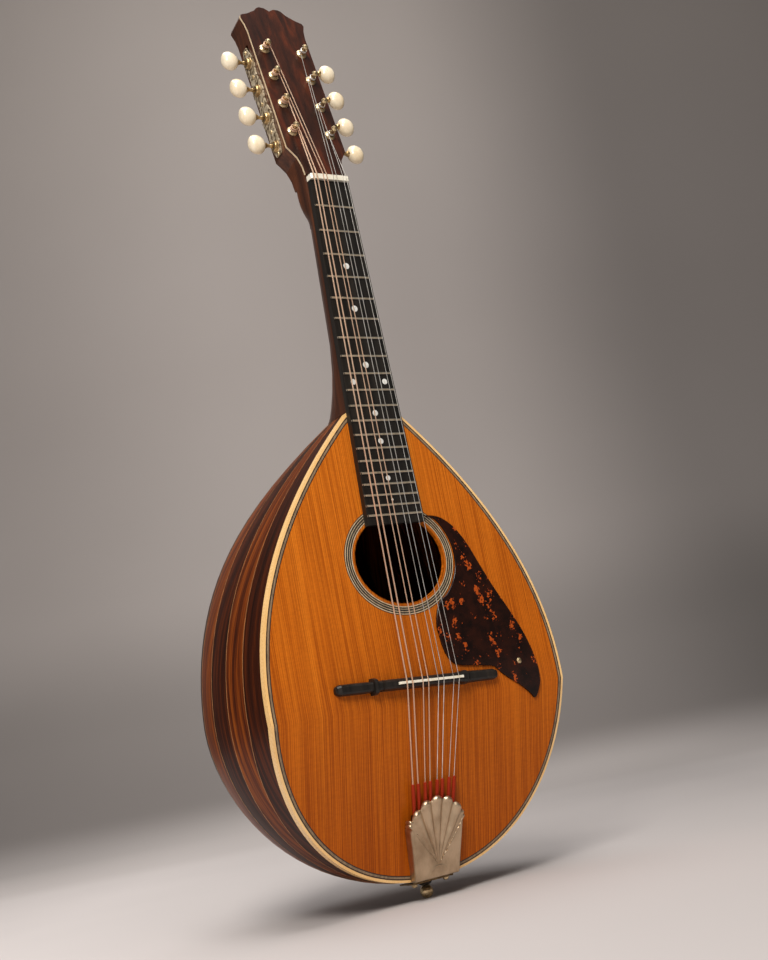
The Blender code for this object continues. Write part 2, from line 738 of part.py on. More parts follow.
def make_neck():
    heights = [JOINT_Z + HEEL_LENGTH * share for share in HEEL_STATIONS]
    heights += [NUT_Z - NECK_EVEN_TO_NUT, NUT_Z + NUT_LENGTH]
    heights[0] = JOINT_Z + GAP
    inset = STAVE_THICKNESS + 2 * GAP
    front = block_front()
    foot, middle, top = stave_heights()[-3:]
    rings = [shell_ring(foot, inset + 0.002, front, foot - 0.002)]
    rings += [shell_ring(z, inset, front) for z in (foot, middle, top)]
    rings.append(shell_ring(top, inset, front, JOINT_Z + GAP))
    for z in heights:
        heel = max(0.0, 1 - (z - JOINT_Z) / HEEL_LENGTH)
        power = 2.0 + (BOWL_SECTION_POWER - 2.0) * heel
        rings.append(neck_ring(z, board_half_width(z), neck_depth(z), power))
    sunk = NECK_IN_HEAD * math.tan(HEAD_TILT) + GAP
    rings.append(neck_ring(HEAD_BASE_Z + NECK_IN_HEAD, NUT_HALF_WIDTH, NECK_DEPTH_AT_NUT, 2.2, sunk))
    neck = finish(loft_mesh(rings), "neck", "mahogany", smooth=40.0)
    head_mesh = plate_mesh([head_outline()], 0.0, HEAD_THICKNESS)
    head = as_cutter(finish(head_mesh, "head", "mahogany", HEAD_FRAME))
    join(neck, head)
    low = POST_HEIGHTS[0] - MORTISE_MARGIN
    high = POST_HEIGHTS[-1] + MORTISE_MARGIN
    for side in (-1, 1):
        inner = side * MORTISE_INNER_X
        outer = side * (HEAD_HALF_WIDTH + 0.01)
        low_corner = (min(inner, outer), MORTISE_ROOF, low)
        high_corner = (max(inner, outer), MORTISE_ROOF + MORTISE_DEPTH, high)
        cut(neck, cutter(box_mesh(low_corner, high_corner), "mortise", HEAD_FRAME))
        for s in POST_HEIGHTS:
            bore_start = (side * POST_X, -0.01, s)
            bore_end = (side * POST_X, MORTISE_ROOF + 0.001, s)
            bore = rod_mesh(POST_RADIUS + GAP, bore_start, bore_end)
            cut(neck, cutter(bore, "post_bore", HEAD_FRAME))
    return neck


def make_veneer():
    s_low = 0.0015
    shape = [(x, max(s, s_low)) for x, s in head_outline()]
    veneer_mesh = plate_mesh([shape], -GAP - VENEER_THICKNESS, -GAP)
    veneer = finish(veneer_mesh, "head_veneer", "rosewood", HEAD_FRAME)
    for side in (-1, 1):
        for s in POST_HEIGHTS:
            bore = rod_mesh(POST_RADIUS + GAP, (side * POST_X, -0.01, s), (side * POST_X, 0.01, s))
            cut(veneer, cutter(bore, "veneer_bore", HEAD_FRAME))
    return veneer


def fret_height(number):
    return SADDLE_Z + SCALE_LENGTH * 2 ** (-number / 12)


def make_fingerboard():
    top = NUT_Z - GAP
    shape = [
        (-board_half_width(top), top),
        (-BOARD_END_HALF_WIDTH, BOARD_END_Z),
        (BOARD_END_HALF_WIDTH, BOARD_END_Z),
        (board_half_width(top), top),
    ]
    board = finish(plate_mesh([shape], -BOARD_TOP, -GAP), "fingerboard", "ebony")
    crown = ((-0.5, -0.0005), (-0.5, 0.45), (-0.2, 1.0), (0.2, 1.0), (0.5, 0.45), (0.5, -0.0005))
    for number in range(1, FRET_COUNT + 1):
        z = fret_height(number)
        reach = board_half_width(z) - 0.0005
        section = [(-BOARD_TOP - (rise * FRET_HEIGHT if rise > 0 else -0.0005), z + along * FRET_WIDTH)
                   for along, rise in crown]
        rings = [[(x, y, height) for y, height in section] for x in (-reach, reach)]
        fret = cutter(loft_mesh(rings), "fret_%02d" % number)
        join(board, fret)
    return board


# Strings

def string_x(index, course_spacing, pair_spacing):
    course, second = divmod(index, 2)
    return (course - 1.5) * course_spacing + (second - 0.5) * pair_spacing


def string_radius(index):
    return STRING_RADII[index // 2]


def notched_mesh(xs, half_length, base, crest, low, high):
    """A bone strip with a notch under each string, between two heights."""
    profile = [(-half_length, base), (-half_length, crest * 0.86), (-half_length + 0.0012, crest)]
    for index, x in enumerate(xs):
        reach = string_radius(index) + NOTCH_CLEARANCE
        profile += [(x - reach, crest), (x - reach * 0.5, crest - NOTCH_DEPTH)]
        profile += [(x + reach * 0.5, crest - NOTCH_DEPTH), (x + reach, crest)]
    profile += [(half_length - 0.0012, crest), (half_length, crest * 0.86), (half_length, base)]
    return loft_mesh([[(x, -y, z) for x, y in profile] for z in (low, high)])


def make_nut():
    xs = [string_x(i, COURSE_SPACING_AT_NUT, PAIR_SPACING_AT_NUT) for i in range(8)]
    crest = STRING_HEIGHT_AT_NUT + NOTCH_DEPTH
    mesh = notched_mesh(xs, NUT_HALF_WIDTH, GAP, crest, NUT_Z, NUT_Z + NUT_LENGTH - GAP)
    return finish(mesh, "nut", "bone")


def skewed(x, along=0.0):
    """A point of the slightly skewed bridge line, in x and height."""
    return (
        x * math.cos(BRIDGE_SKEW) + along * math.sin(BRIDGE_SKEW),
        SADDLE_Z - x * math.sin(BRIDGE_SKEW) + along * math.cos(BRIDGE_SKEW),
    )


def string_points(index):
    """The route of one string: hook, silk end, saddle, nut and the post's winding."""
    radius = string_radius(index)
    tail_x = string_x(index, COURSE_SPACING_AT_TAIL, PAIR_SPACING_AT_TAIL)
    saddle_x = string_x(index, COURSE_SPACING_AT_SADDLE, PAIR_SPACING_AT_SADDLE)
    nut_x = string_x(index, COURSE_SPACING_AT_NUT, PAIR_SPACING_AT_NUT)
    hook_z = TAIL_Z + HOOK_ABOVE_TAIL + HOOK_RADIUS + GAP + SILK_RADIUS * math.sin(BEND)
    silk_z = TAIL_Z + COVER_TOP_ABOVE_TAIL + SILK_ABOVE_COVER
    low = -0.0038
    cross_x, cross_z = skewed(saddle_x, -SADDLE_THICKNESS / 2 - GAP)
    crest = -(STRING_HEIGHT_AT_SADDLE + radius + STRING_LIFT)
    share = (silk_z - hook_z) / (cross_z - hook_z)
    hook_y = low + fall(hook_z)
    silk_x = tail_x + (cross_x - tail_x) * share
    silk_y = hook_y + (crest - hook_y) * share
    nut_y = -(STRING_HEIGHT_AT_NUT + radius + STRING_LIFT)
    side = -1 if index < 4 else 1
    rank = index if index < 4 else 7 - index
    s = POST_HEIGHTS[rank]
    wind_x = side * (POST_X - POST_RADIUS - radius - 2 * GAP)
    wind = Vector((wind_x, -(GAP + VENEER_THICKNESS + WIND_HEIGHT + WIND_STEP * rank), s))
    turn = Matrix.Rotation(-HEAD_TILT, 4, "X")
    end = turn @ wind + Vector((0.0, 0.0, HEAD_BASE_Z))
    points = [
        ((tail_x, hook_y, hook_z), SILK_RADIUS),
        ((silk_x, silk_y, silk_z), SILK_RADIUS),
        ((silk_x, silk_y - 1e-5, silk_z + 0.0008), radius),
        ((cross_x, crest, cross_z), radius),
        ((nut_x, nut_y, NUT_Z + 0.0004), radius),
        ((nut_x, nut_y + STRING_LIFT, NUT_Z + NUT_LENGTH), radius),
        (tuple(end), radius),
    ]
    return points


def make_strings():
    for index in range(8):
        curve = bpy.data.curves.new("string", "CURVE")
        curve.dimensions = "3D"
        curve.bevel_depth = 1.0
        curve.bevel_resolution = 1
        curve.use_fill_caps = True
        points = string_points(index)
        spline = curve.splines.new("POLY")
        spline.points.add(len(points) - 1)
        for target, (place, radius) in zip(spline.points, points):
            target.co = (*place, 1.0)
            target.radius = radius
        metal = "bronze_string" if index < 4 else "steel_string"
        finish(curve_mesh(curve), "string_%d" % (index + 1), metal)


# Tuners

def make_post(name, side, s):
    """A string post with its gear wheel, turning about the normal of the head's face."""
    foot = -(MORTISE_ROOF + MORTISE_DEPTH - GAP)
    face = GAP + VENEER_THICKNESS
    top = face + POST_RISE
    profile = [
        (0.0, top),
        (0.0018, top - 0.0005),
        (0.0028, top - 0.0020),
        (0.0019, top - 0.0038),
        (POST_RADIUS * 0.86, face + WIND_HEIGHT),
        (POST_RADIUS, face + 0.0012),
        (POST_RADIUS, -(GEAR_DEPTH - GEAR_THICKNESS / 2 - 0.0004)),
        (0.0018, -(GEAR_DEPTH + GEAR_THICKNESS / 2 + 0.0004)),
        (0.0018, foot),
        (0.0, foot),
    ]
    post = turned(name, profile, "brass", HEAD_FRAME, POST_SIDES)
    post.location = (side * POST_X, 0.0, s)
    post.rotation_euler = (math.pi / 2, 0.0, 0.0)
    rings = []
    for depth in (GEAR_DEPTH + GEAR_THICKNESS / 2, GEAR_DEPTH - GEAR_THICKNESS / 2):
        ring = []
        for i in range(2 * GEAR_TEETH):
            turn = math.pi * i / GEAR_TEETH
            radius = GEAR_ROOT_RADIUS if i % 2 else GEAR_TIP_RADIUS
            ring.append((radius * math.cos(turn), radius * math.sin(turn), -depth))
        rings.append(ring)
    gear = cutter(loft_mesh(rings), name + "_gear", HEAD_FRAME)
    gear.location = post.location
    gear.rotation_euler = post.rotation_euler
    join(post, gear)
    return post


def key_ring(z, across, thick=None, phase=0.0, throw=0.0):
    """One ring of a tuner key, round or flattened, set off its axis by a throw."""
    thick = thick or across
    ring = []
    for i in range(KEY_SIDES):
        turn = 2 * math.pi * (i + 0.5) / KEY_SIDES
        x = across * math.cos(turn) + throw * math.cos(phase)
        y = thick * math.sin(turn) + throw * math.sin(phase)
        ring.append((x, y, z))
    return ring


def make_key(name, side, s):
    """A worm shaft with its flat oval button, turning about its own length."""
    low = MORTISE_INNER_X + GAP
    button = BUTTON_CENTRE_X
    half = BUTTON_HALF_LENGTH
    rings = []
    swells = ((1.0, 0.30), (0.88, 0.60), (0.45, 0.91), (-0.08, 1.0), (-0.56, 0.82), (-0.90, 0.44))
    for along, swell in swells:
        rings.append(key_ring(button + half * along, BUTTON_RADIUS * swell, BUTTON_THICKNESS * swell ** 0.7))
    rings.append(key_ring(button - half * 1.02, SHAFT_RADIUS * 1.5))
    rings.append(key_ring(button - half * 1.30, SHAFT_RADIUS * 1.5))
    rings.append(key_ring(button - half * 1.36, SHAFT_RADIUS))
    worm_end = PLATE_X - 0.0014
    worm_start = low + 0.0012
    rings.append(key_ring(worm_end + 0.0008, SHAFT_RADIUS))
    stations = 4 * WORM_TURNS
    for k in range(stations + 1):
        phase = 2 * math.pi * WORM_TURNS * k / stations
        z = worm_end + (worm_start - worm_end) * k / stations
        rings.append(key_ring(z, WORM_CORE_RADIUS, None, phase, WORM_THROW))
    rings.append(key_ring(worm_start - 0.0004, SHAFT_RADIUS * 0.6))
    rings.append(key_ring(low, SHAFT_RADIUS * 0.6))
    key = finish(loft_mesh(rings), name, "ivory", HEAD_FRAME, 50.0)
    key.location = (0.0, GEAR_DEPTH, s)
    key.rotation_euler = (0.0, side * math.pi / 2, 0.0)
    return key


def make_tuners():
    for side, letter in ((-1, "left"), (1, "right")):
        for number, s in enumerate(POST_HEIGHTS, 1):
            make_post("post_%s_%d" % (letter, number), side, s)
            make_key("key_%s_%d" % (letter, number), side, s - WORM_OFFSET)


def make_side_plates():
    low = POST_HEIGHTS[0] - WORM_OFFSET - PLATE_MARGIN * 0.6
    high = POST_HEIGHTS[-1] - WORM_OFFSET + PLATE_MARGIN
    for side, letter in ((-1, "left"), (1, "right")):
        count = 25
        front = []
        for i in range(count):
            s = low + (high - low) * i / (count - 1)
            wave = math.cos(2 * math.pi * (s - POST_HEIGHTS[0] + WORM_OFFSET) / POST_PITCH)
            end = min(1.0, 6 * min(i, count - 1 - i) / (count - 1))
            reach = (PLATE_HALF_HEIGHT + PLATE_LOBE * wave) * (0.55 + 0.45 * end)
            front.append((GEAR_DEPTH - reach, s))
        back = [(2 * GEAR_DEPTH - y, s) for y, s in reversed(front)]
        faces = (side * PLATE_X, side * (PLATE_X + PLATE_THICKNESS))
        rings = [[(x, y, s) for y, s in front + back] for x in faces]
        plate = finish(loft_mesh(rings), "tuner_plate_" + letter, "nickel", HEAD_FRAME)
        for s in POST_HEIGHTS:
            centre = s - WORM_OFFSET
            start = side * (PLATE_X + 0.0004)
            end = side * (PLATE_X + PLATE_THICKNESS + BOSS_HEIGHT)
            boss = rod_mesh(BOSS_RADIUS, (start, GEAR_DEPTH, centre), (end, GEAR_DEPTH, centre), 10)
            join(plate, cutter(boss, "boss", HEAD_FRAME))
        for s in POST_HEIGHTS:
            centre = s - WORM_OFFSET
            through = (side * (PLATE_X - 0.002), side * (PLATE_X + 0.01))
            ends = [(x, GEAR_DEPTH, centre) for x in through]
            bore = rod_mesh(SHAFT_BORE_RADIUS, *ends, 8)
            cut(plate, cutter(bore, "shaft_bore", HEAD_FRAME))


# Bridge, tailpiece and pickguard

def make_bridge():
    """The bridge as a loft along its length: arms, a collar and the raised middle."""
    stations = (
        (-1.000, 0.0016, 0.0026), (-0.985, 0.0030, 0.0042), (-0.945, 0.0040, 0.0054), (-0.80, 0.0041, 0.0058),
        (-0.62, 0.0039, 0.0062), (-0.585, 0.0040, 0.0064), (-0.580, 0.0060, 0.0082), (-0.535, 0.0060, 0.0082),
        (-0.530, 0.0040, 0.0066), (-0.475, 0.0038, 0.0068), (-0.460, 0.0040, 0.0094), (-0.30, 0.0040, 0.0098),
        (0.46, 0.0040, 0.0098), (0.475, 0.0044, 0.0094), (0.56, 0.0052, 0.0090), (0.60, 0.0044, 0.0064),
        (0.80, 0.0041, 0.0058), (0.945, 0.0040, 0.0054), (0.985, 0.0030, 0.0042), (1.000, 0.0016, 0.0026),
    )
    rings = []
    for share, half_thickness, height in stations:
        ring = []
        for across, rise in ((-1.0, 0.0), (-1.0, 0.45), (-0.80, 0.85), (-0.45, 1.0),
                             (0.45, 1.0), (0.80, 0.85), (1.0, 0.45), (1.0, 0.0)):
            x, z = skewed(BRIDGE_SHIFT + share * BRIDGE_HALF_LENGTH, across * half_thickness)
            ring.append((x, -GAP - rise * height * BRIDGE_HEIGHT / 0.0098, z))
        rings.append(ring)
    bridge = finish(loft_mesh(rings), "bridge", "ebony")
    reach = SADDLE_HALF_LENGTH + GAP
    half = SADDLE_THICKNESS / 2 + GAP
    slot = box_mesh((-reach, -BRIDGE_HEIGHT - 0.005, -half), (reach, -BRIDGE_HEIGHT + SADDLE_SINK, half))
    slot_cutter = cutter(slot, "saddle_slot")
    slot_cutter.location = (0.0, 0.0, SADDLE_Z)
    slot_cutter.rotation_euler = (0.0, BRIDGE_SKEW, 0.0)
    cut(bridge, slot_cutter)


def make_saddle():
    xs = [string_x(i, COURSE_SPACING_AT_SADDLE, PAIR_SPACING_AT_SADDLE) for i in range(8)]
    base = BRIDGE_HEIGHT - SADDLE_SINK + GAP
    crest = STRING_HEIGHT_AT_SADDLE + NOTCH_DEPTH
    half = SADDLE_THICKNESS / 2
    saddle = finish(notched_mesh(xs, SADDLE_HALF_LENGTH, base, crest, -half, half), "saddle", "bone")
    saddle.location = (0.0, 0.0, SADDLE_Z)
    saddle.rotation_euler = (0.0, BRIDGE_SKEW, 0.0)


def cover_outline(inset=0.0):
    """The shell-shaped cover: five scallops over straight, tapering sides."""
    bottom = TAIL_Z + COVER_BOTTOM_ABOVE_TAIL + inset
    fan_z = TAIL_Z + COVER_TOP_ABOVE_TAIL - 0.0320
    right = [(COVER_BOTTOM_HALF_WIDTH - inset, bottom)]
    right.append((COVER_TOP_HALF_WIDTH - 0.0008 - inset, fan_z + 0.0140))
    scallops = 5
    steps = 5
    spread = math.radians(118.0)
    arc = []
    for k in range(scallops):
        for i in range(steps):
            turn = (0.5 - (k + (i + 0.5) / steps) / scallops) * spread
            lobe = abs(math.sin(math.pi * (i + 0.5) / steps)) ** 0.6
            radius = 0.0296 + 0.0024 * lobe - inset
            arc.append((radius * 0.905 * math.sin(turn), fan_z + radius * math.cos(turn)))
    left = [(-x, z) for x, z in reversed(right)]
    return right + arc + left


def make_cover():
    front = -COVER_HEIGHT
    outer = finish(plate_mesh([cover_outline()], front, -0.0005), "tailpiece_cover", "nickel")
    inner_shape = cover_outline(COVER_WALL)
    top = TAIL_Z + COVER_TOP_ABOVE_TAIL
    hollow = cutter(plate_mesh([inner_shape], front + COVER_WALL, 0.002), "cover_hollow")
    mouth_low = (-COVER_TOP_HALF_WIDTH + COVER_WALL, front + COVER_WALL, top - 0.0170)
    mouth_high = (COVER_TOP_HALF_WIDTH - COVER_WALL, 0.002, top + 0.01)
    mouth = cutter(box_mesh(mouth_low, mouth_high), "cover_mouth")
    inner = COVER_BOTTOM_HALF_WIDTH - COVER_WALL
    foot_low = (-inner, front + COVER_WALL, TAIL_Z - 0.01)
    foot_high = (inner, 0.002, TAIL_Z + 0.01)
    foot = cutter(box_mesh(foot_low, foot_high), "cover_foot")
    cut(outer, hollow, mouth, foot)
    fan = (0.0, TAIL_Z + COVER_BOTTOM_ABOVE_TAIL + 0.0075)
    for k in range(-3, 4):
        lean = math.radians(15.0 * k) * 0.5
        reach = 0.060
        rings = []
        for along, half, deep in ((0.004, 0.0002, 0.0001), (reach, 0.0017, 0.0008)):
            centre = Vector((fan[0] + along * math.sin(lean), fan[1] + along * math.cos(lean)))
            side = Vector((math.cos(lean), -math.sin(lean))) * half
            left = centre - side
            right = centre + side
            rings.append([
                (left.x, front - 0.001, left.y),
                (right.x, front - 0.001, right.y),
                (centre.x, front + deep, centre.y),
            ])
        cut(outer, cutter(loft_mesh(rings), "cover_flute"))
    return bend(outer)


def make_tailpiece_base():
    bottom = TAIL_Z - GAP - BASE_THICKNESS
    top = TAIL_Z + HOOK_ABOVE_TAIL + 0.008
    half = BASE_HALF_WIDTH
    front = -GAP - BASE_THICKNESS
    profile = [(front, bottom), (FLANGE_DEPTH, bottom), (FLANGE_DEPTH, bottom + BASE_THICKNESS)]
    profile += [(-GAP, bottom + BASE_THICKNESS), (-GAP, top), (front, top)]
    rings = [[(x, y, z) for y, z in profile] for x in (-half, half)]
    base = finish(loft_mesh(rings), "tailpiece_base", "brass")
    for index in range(8):
        x = string_x(index, COURSE_SPACING_AT_TAIL, PAIR_SPACING_AT_TAIL)
        z = TAIL_Z + HOOK_ABOVE_TAIL
        hook = rod_mesh(HOOK_RADIUS, (x, -HOOK_HEIGHT - GAP, z), (x, -GAP - BASE_THICKNESS * 0.5, z), 8)
        join(base, cutter(hook, "hook"))
    bend(base)
    hole_start = (0, pin_place(), bottom - 0.002)
    hole_end = (0, pin_place(), TAIL_Z + 0.002)
    hole = rod_mesh(PIN_SHANK_RADIUS + GAP, hole_start, hole_end)
    cut(base, cutter(hole, "flange_pin_hole"))
    return base


def make_end_pin():
    stem = TAIL_Z - GAP - BASE_THICKNESS - GAP
    ball = PIN_BALL_RADIUS
    tip = TAIL_Z + PIN_LENGTH
    profile = [(0.0, tip), (PIN_SHANK_RADIUS * 0.85, tip), (PIN_SHANK_RADIUS, TAIL_Z + 0.4 * PIN_LENGTH)]
    profile += [(PIN_SHANK_RADIUS, stem), (0.0044, stem), (0.0044, stem - 0.0010), (0.0026, stem - 0.0016)]
    profile += [(0.0026, 2 * ball - 0.0004)]
    for degrees in (40, 60, 80, 100, 120, 140, 160):
        turn = math.radians(degrees)
        profile.append((ball * math.sin(turn), ball + ball * math.cos(turn)))
    profile.append((0.0, 0.0))
    pin = turned("end_pin", profile, "brass", BODY_FRAME, 16)
    pin.location = (0.0, pin_place(), 0.0)


def screw_profile(length):
    head = SCREW_HEAD_RADIUS
    return [
        (0.0, length), (SCREW_SHANK_RADIUS, length), (SCREW_SHANK_RADIUS, 0.0), (head, 0.0),
        (head * 0.94, -0.0006), (head * 0.5, -0.0013), (0.0, -0.0015),
    ]


def make_guard_screw():
    screw = turned("pickguard_screw", screw_profile(0.0045), "brass", BODY_FRAME, 12)
    place = GUARD_SCREW_SHARE * BODY_HALF_WIDTH
    screw.location = (place, -2 * GAP - GUARD_THICKNESS, TAIL_Z + GUARD_SCREW_ABOVE_TAIL)
    screw.rotation_euler = (-math.pi / 2, 0.0, 0.0)


def guard_outline():
    """The pickguard: down from the rosette, a full flank and a hooked tip, in shares of the width."""
    rim_x = HOLE_HALF_WIDTH + ROSETTE_LIP + ROSETTE_WIDTH + 0.0012
    rim_z = HOLE_HALF_HEIGHT + ROSETTE_LIP + ROSETTE_WIDTH + 0.0012
    flank = [
        (0.228, 0.2640), (0.319, 0.2622), (0.409, 0.2540), (0.483, 0.2400), (0.543, 0.2230), (0.610, 0.2045),
        (0.681, 0.1875), (0.771, 0.1675), (0.826, 0.1520), (0.846, 0.1365), (0.829, 0.1205), (0.797, 0.1092),
        (0.757, 0.1060), (0.689, 0.1190), (0.617, 0.1285), (0.556, 0.1345), (0.502, 0.1432), (0.448, 0.1444),
        (0.349, 0.1464), (0.275, 0.1476), (0.217, 0.1506), (0.177, 0.1585), (0.160, 0.1700), (0.157, 0.1815),
    ]
    points = [(share * BODY_HALF_WIDTH, TAIL_Z + z) for share, z in flank]
    for degrees in (-58, -40, -20, 0, 20, 40):
        turn = math.radians(degrees)
        points.append((rim_x * math.cos(turn), HOLE_Z + rim_z * math.sin(turn)))
    return points


def make_pickguard(soundboard):
    guard_mesh = plate_mesh([guard_outline()], -GAP - GUARD_THICKNESS, -GAP, "BEZIER", 2)
    guard = bend(finish(guard_mesh, "pickguard", "tortoise"))
    z = TAIL_Z + GUARD_SCREW_ABOVE_TAIL
    place = GUARD_SCREW_SHARE * BODY_HALF_WIDTH
    bore = rod_mesh(SCREW_SHANK_RADIUS + GAP, (place, -0.01, z), (place, 0.01, z), 8)
    hole = cutter(bore, "guard_hole")
    cut(guard, hole)
    cut(soundboard, hole)


def build():
    make_staves()
    soundboard = make_soundboard()
    make_edge()
    make_rosette()
    make_braces()
    make_lining()
    make_tail_block()
    make_neck()
    make_veneer()
    make_fingerboard()
    make_nut()
    make_bridge()
    make_saddle()
    make_strings()
    make_tuners()
    make_side_plates()
    make_cover()
    make_tailpiece_base()
    make_end_pin()
    make_guard_screw()
    make_pickguard(soundboard)


build()
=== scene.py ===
"""Looks of the bowl-back mandola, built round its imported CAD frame."""

from itertools import accumulate
from math import copysign, cos, exp, hypot, pi, radians, sin, tan

import bmesh
import bpy
from mathutils import Matrix, Vector


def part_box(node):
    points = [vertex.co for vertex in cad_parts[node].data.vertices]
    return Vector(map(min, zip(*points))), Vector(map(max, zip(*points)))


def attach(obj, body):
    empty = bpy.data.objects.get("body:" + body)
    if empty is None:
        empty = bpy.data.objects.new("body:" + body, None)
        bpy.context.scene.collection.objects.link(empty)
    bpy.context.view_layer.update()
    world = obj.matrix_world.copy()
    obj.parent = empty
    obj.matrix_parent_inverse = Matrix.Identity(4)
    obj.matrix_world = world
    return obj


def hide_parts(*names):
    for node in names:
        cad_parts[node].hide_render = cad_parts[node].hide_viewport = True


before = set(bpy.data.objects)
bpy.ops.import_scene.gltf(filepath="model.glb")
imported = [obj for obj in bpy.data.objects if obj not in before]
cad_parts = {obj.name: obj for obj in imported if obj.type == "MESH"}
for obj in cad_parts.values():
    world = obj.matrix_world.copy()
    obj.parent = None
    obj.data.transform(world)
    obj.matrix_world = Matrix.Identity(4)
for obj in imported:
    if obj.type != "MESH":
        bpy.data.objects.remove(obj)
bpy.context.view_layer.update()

# Sizes repeated from the part's source, with lengths in metres
GAP = 0.0003
TAIL_Z = 0.0138
SADDLE_Z = TAIL_Z + 0.140
SCALE_LENGTH = 0.400
NUT_Z = SADDLE_Z + SCALE_LENGTH
WIDE_ABOVE_TAIL = 0.1376
WIDE_Z = TAIL_Z + WIDE_ABOVE_TAIL
SHOULDER_REACH = 0.2170
BODY_HALF_WIDTH = 0.1296
LOWER_BOUT_POWER = 2.14
SHOULDER_POWER = 2.02
SHOULDER_DROP = 0.875
BOWL_DEPTH = 0.184
HEEL_DEPTH = 0.045
BOWL_SECTION_POWER = 3.05
BOWL_BULGE = 0.050
TAIL_PROFILE_POWER = 1.55
TAIL_BLUNT_SHARE = 0.09
TAIL_BLUNT_POWER = 8
SHOULDER_PROFILE_POWER = 4.9
STAVE_COUNT = 15
BEND = radians(17.4)
BEND_ABOVE_TAIL = 0.1265
BEND_Z = TAIL_Z + BEND_ABOVE_TAIL
BEND_SOFTNESS = 0.040
BINDING_WIDTH = 0.0020
BINDING_DEPTH = 0.0055
PURFLING_WIDTH = 0.0022
HOLE_Z = TAIL_Z + 0.2328
HOLE_HALF_WIDTH = 0.0393
HOLE_HALF_HEIGHT = 0.0339
ROSETTE_LIP = 0.0012
GUARD_THICKNESS = 0.0014
ROSETTE_WIDTH = 0.0072
NUT_HALF_WIDTH = 0.0176
NUT_LENGTH = 0.0046
BOARD_END_HALF_WIDTH = 0.0254
FRET_COUNT = 20
FRET_WIDTH = 0.0022
FRET_HEIGHT = 0.0010
BOARD_PAST_LAST_FRET = 0.0070
BOARD_THICKNESS = 0.0050
BOARD_END_Z = SADDLE_Z + SCALE_LENGTH * 2 ** (-FRET_COUNT / 12) - BOARD_PAST_LAST_FRET
BOARD_TOP = GAP + BOARD_THICKNESS
HEAD_TILT = radians(12.0)
HEAD_BASE_Z = NUT_Z + NUT_LENGTH + GAP
HEAD_HALF_WIDTH = 0.0270
HEAD_CORNER_HALF_WIDTH = 0.0300
HEAD_CORNER_HEIGHT = 0.1660
HEAD_TOP_HEIGHT = 0.1790
VENEER = 0.0015
POST_X = 0.0175
POST_FIRST = 0.0440
POST_PITCH = 0.0290
POST_HEIGHTS = [POST_FIRST + POST_PITCH * i for i in range(4)]
POST_RADIUS = 0.0025
NECK_DEPTH_AT_NUT = 0.0195
WIND_HEIGHT = 0.0028
WIND_STEP = 0.0005
GEAR_DEPTH = 0.0105
WORM_OFFSET = 0.0065
PLATE_X = HEAD_HALF_WIDTH + GAP
PLATE_THICKNESS = 0.0014
BUTTON_CENTRE_X = 0.0460
BUTTON_RADIUS = 0.0088
BUTTON_THICKNESS = 0.0058
BUTTON_HALF_LENGTH = 0.0066
SHAFT_RADIUS = 0.0014
BRIDGE_SKEW = radians(2.4)
STRING_HEIGHT_AT_SADDLE = 0.0118
SADDLE_THICKNESS = 0.0018
STRING_COUNT = 8
WOUND_COUNT = 4
STRING_RADII = (0.00056, 0.00042, 0.00027, 0.00020)
COURSE_SPACING_AT_SADDLE = 0.0137
COURSE_SPACING_AT_TAIL = 0.0096
PAIR_SPACING_AT_SADDLE = 0.0048
PAIR_SPACING_AT_TAIL = 0.0044
STRING_HEIGHT_AT_HOOK = 0.0038
STRING_LIFT = 0.0002
SILK_RADIUS = 0.00105
COVER_TOP_ABOVE_TAIL = 0.0587
COVER_BOTTOM_ABOVE_TAIL = 0.0008
COVER_TOP_HALF_WIDTH = 0.0245
COVER_BOTTOM_HALF_WIDTH = 0.0192
COVER_HEIGHT = 0.0100
HOOK_ABOVE_TAIL = 0.0400
HOOK_RADIUS = 0.0010
SILK_ABOVE_COVER = 0.0100
BASE_THICKNESS = 0.0010
PIN_DEPTH = 0.0112
STAVE_END_ANGLE = radians(83.0)

# Sizes of the looks alone, with lengths in metres
STRIP_COUNT = 19
STAVE_STATIONS = 20
SIDE_STATIONS = (44, 36)
STRIP_THICKNESS = 0.0024
SEAM_SHARE = 0.008
FILLET_HALF_WIDTH = 0.00032
FILLET_PROUD = 0.00014
FILLET_SUNK = 0.00080
PURFLING_DEPTH = 0.0012
GUARD_CLEARANCE = 0.0012
HOLE_EDGE_DEPTH = 0.0027
HEAD_LINE_PROUD = 0.00012
VOLUTE_BELOW_NUT = 0.034
VOLUTE_PAST_NUT = 0.006
SILK_STATIONS = 16
LOBE_COUNT = 5
LOBE_REACH = 0.0038
FAN_SPREAD = radians(112.0)
FAN_REACH = 0.0282
FAN_BELOW_TOP = 0.0320
FAN_CENTRE_ABOVE_BOTTOM = 0.0088
BEAD_RADIUS = 0.0014
COVER_ARCH = 0.0017
COVER_GROOVE = 0.0007
COVER_ROLL = 0.0010
COVER_FIELD_DROP = 0.0009
SIDE_END = 0.0005
BEAD_END = 0.0030
FOOT_WALL = 0.0036
LOBE_WALL = 0.0021
SHELL_THICKNESS = 0.0004
TAIL_SCREW_X = 0.0140
BOWL_AXIS_DEPTH = 0.010
BOWL_MEAN_RADIUS = 0.115
SOFT_BEND_REACH = 0.085
SWEEP_START = 0.9
SWEEP_RADIUS = 1.1
STAGE_TURN = radians(-33.7)

# The camera, fitted to the photograph
SENSOR_HEIGHT = 36.0
FOCAL_PIXELS = 1300.0
PHOTO_PIXELS_HIGH = 960.0
CAMERA_PLACE = Vector((-0.53617, -0.88710, 0.10557))
CAMERA_RIGHT = Vector((0.8379, -0.5121, -0.1890))
CAMERA_AHEAD = Vector((0.5437, 0.8138, 0.2055))

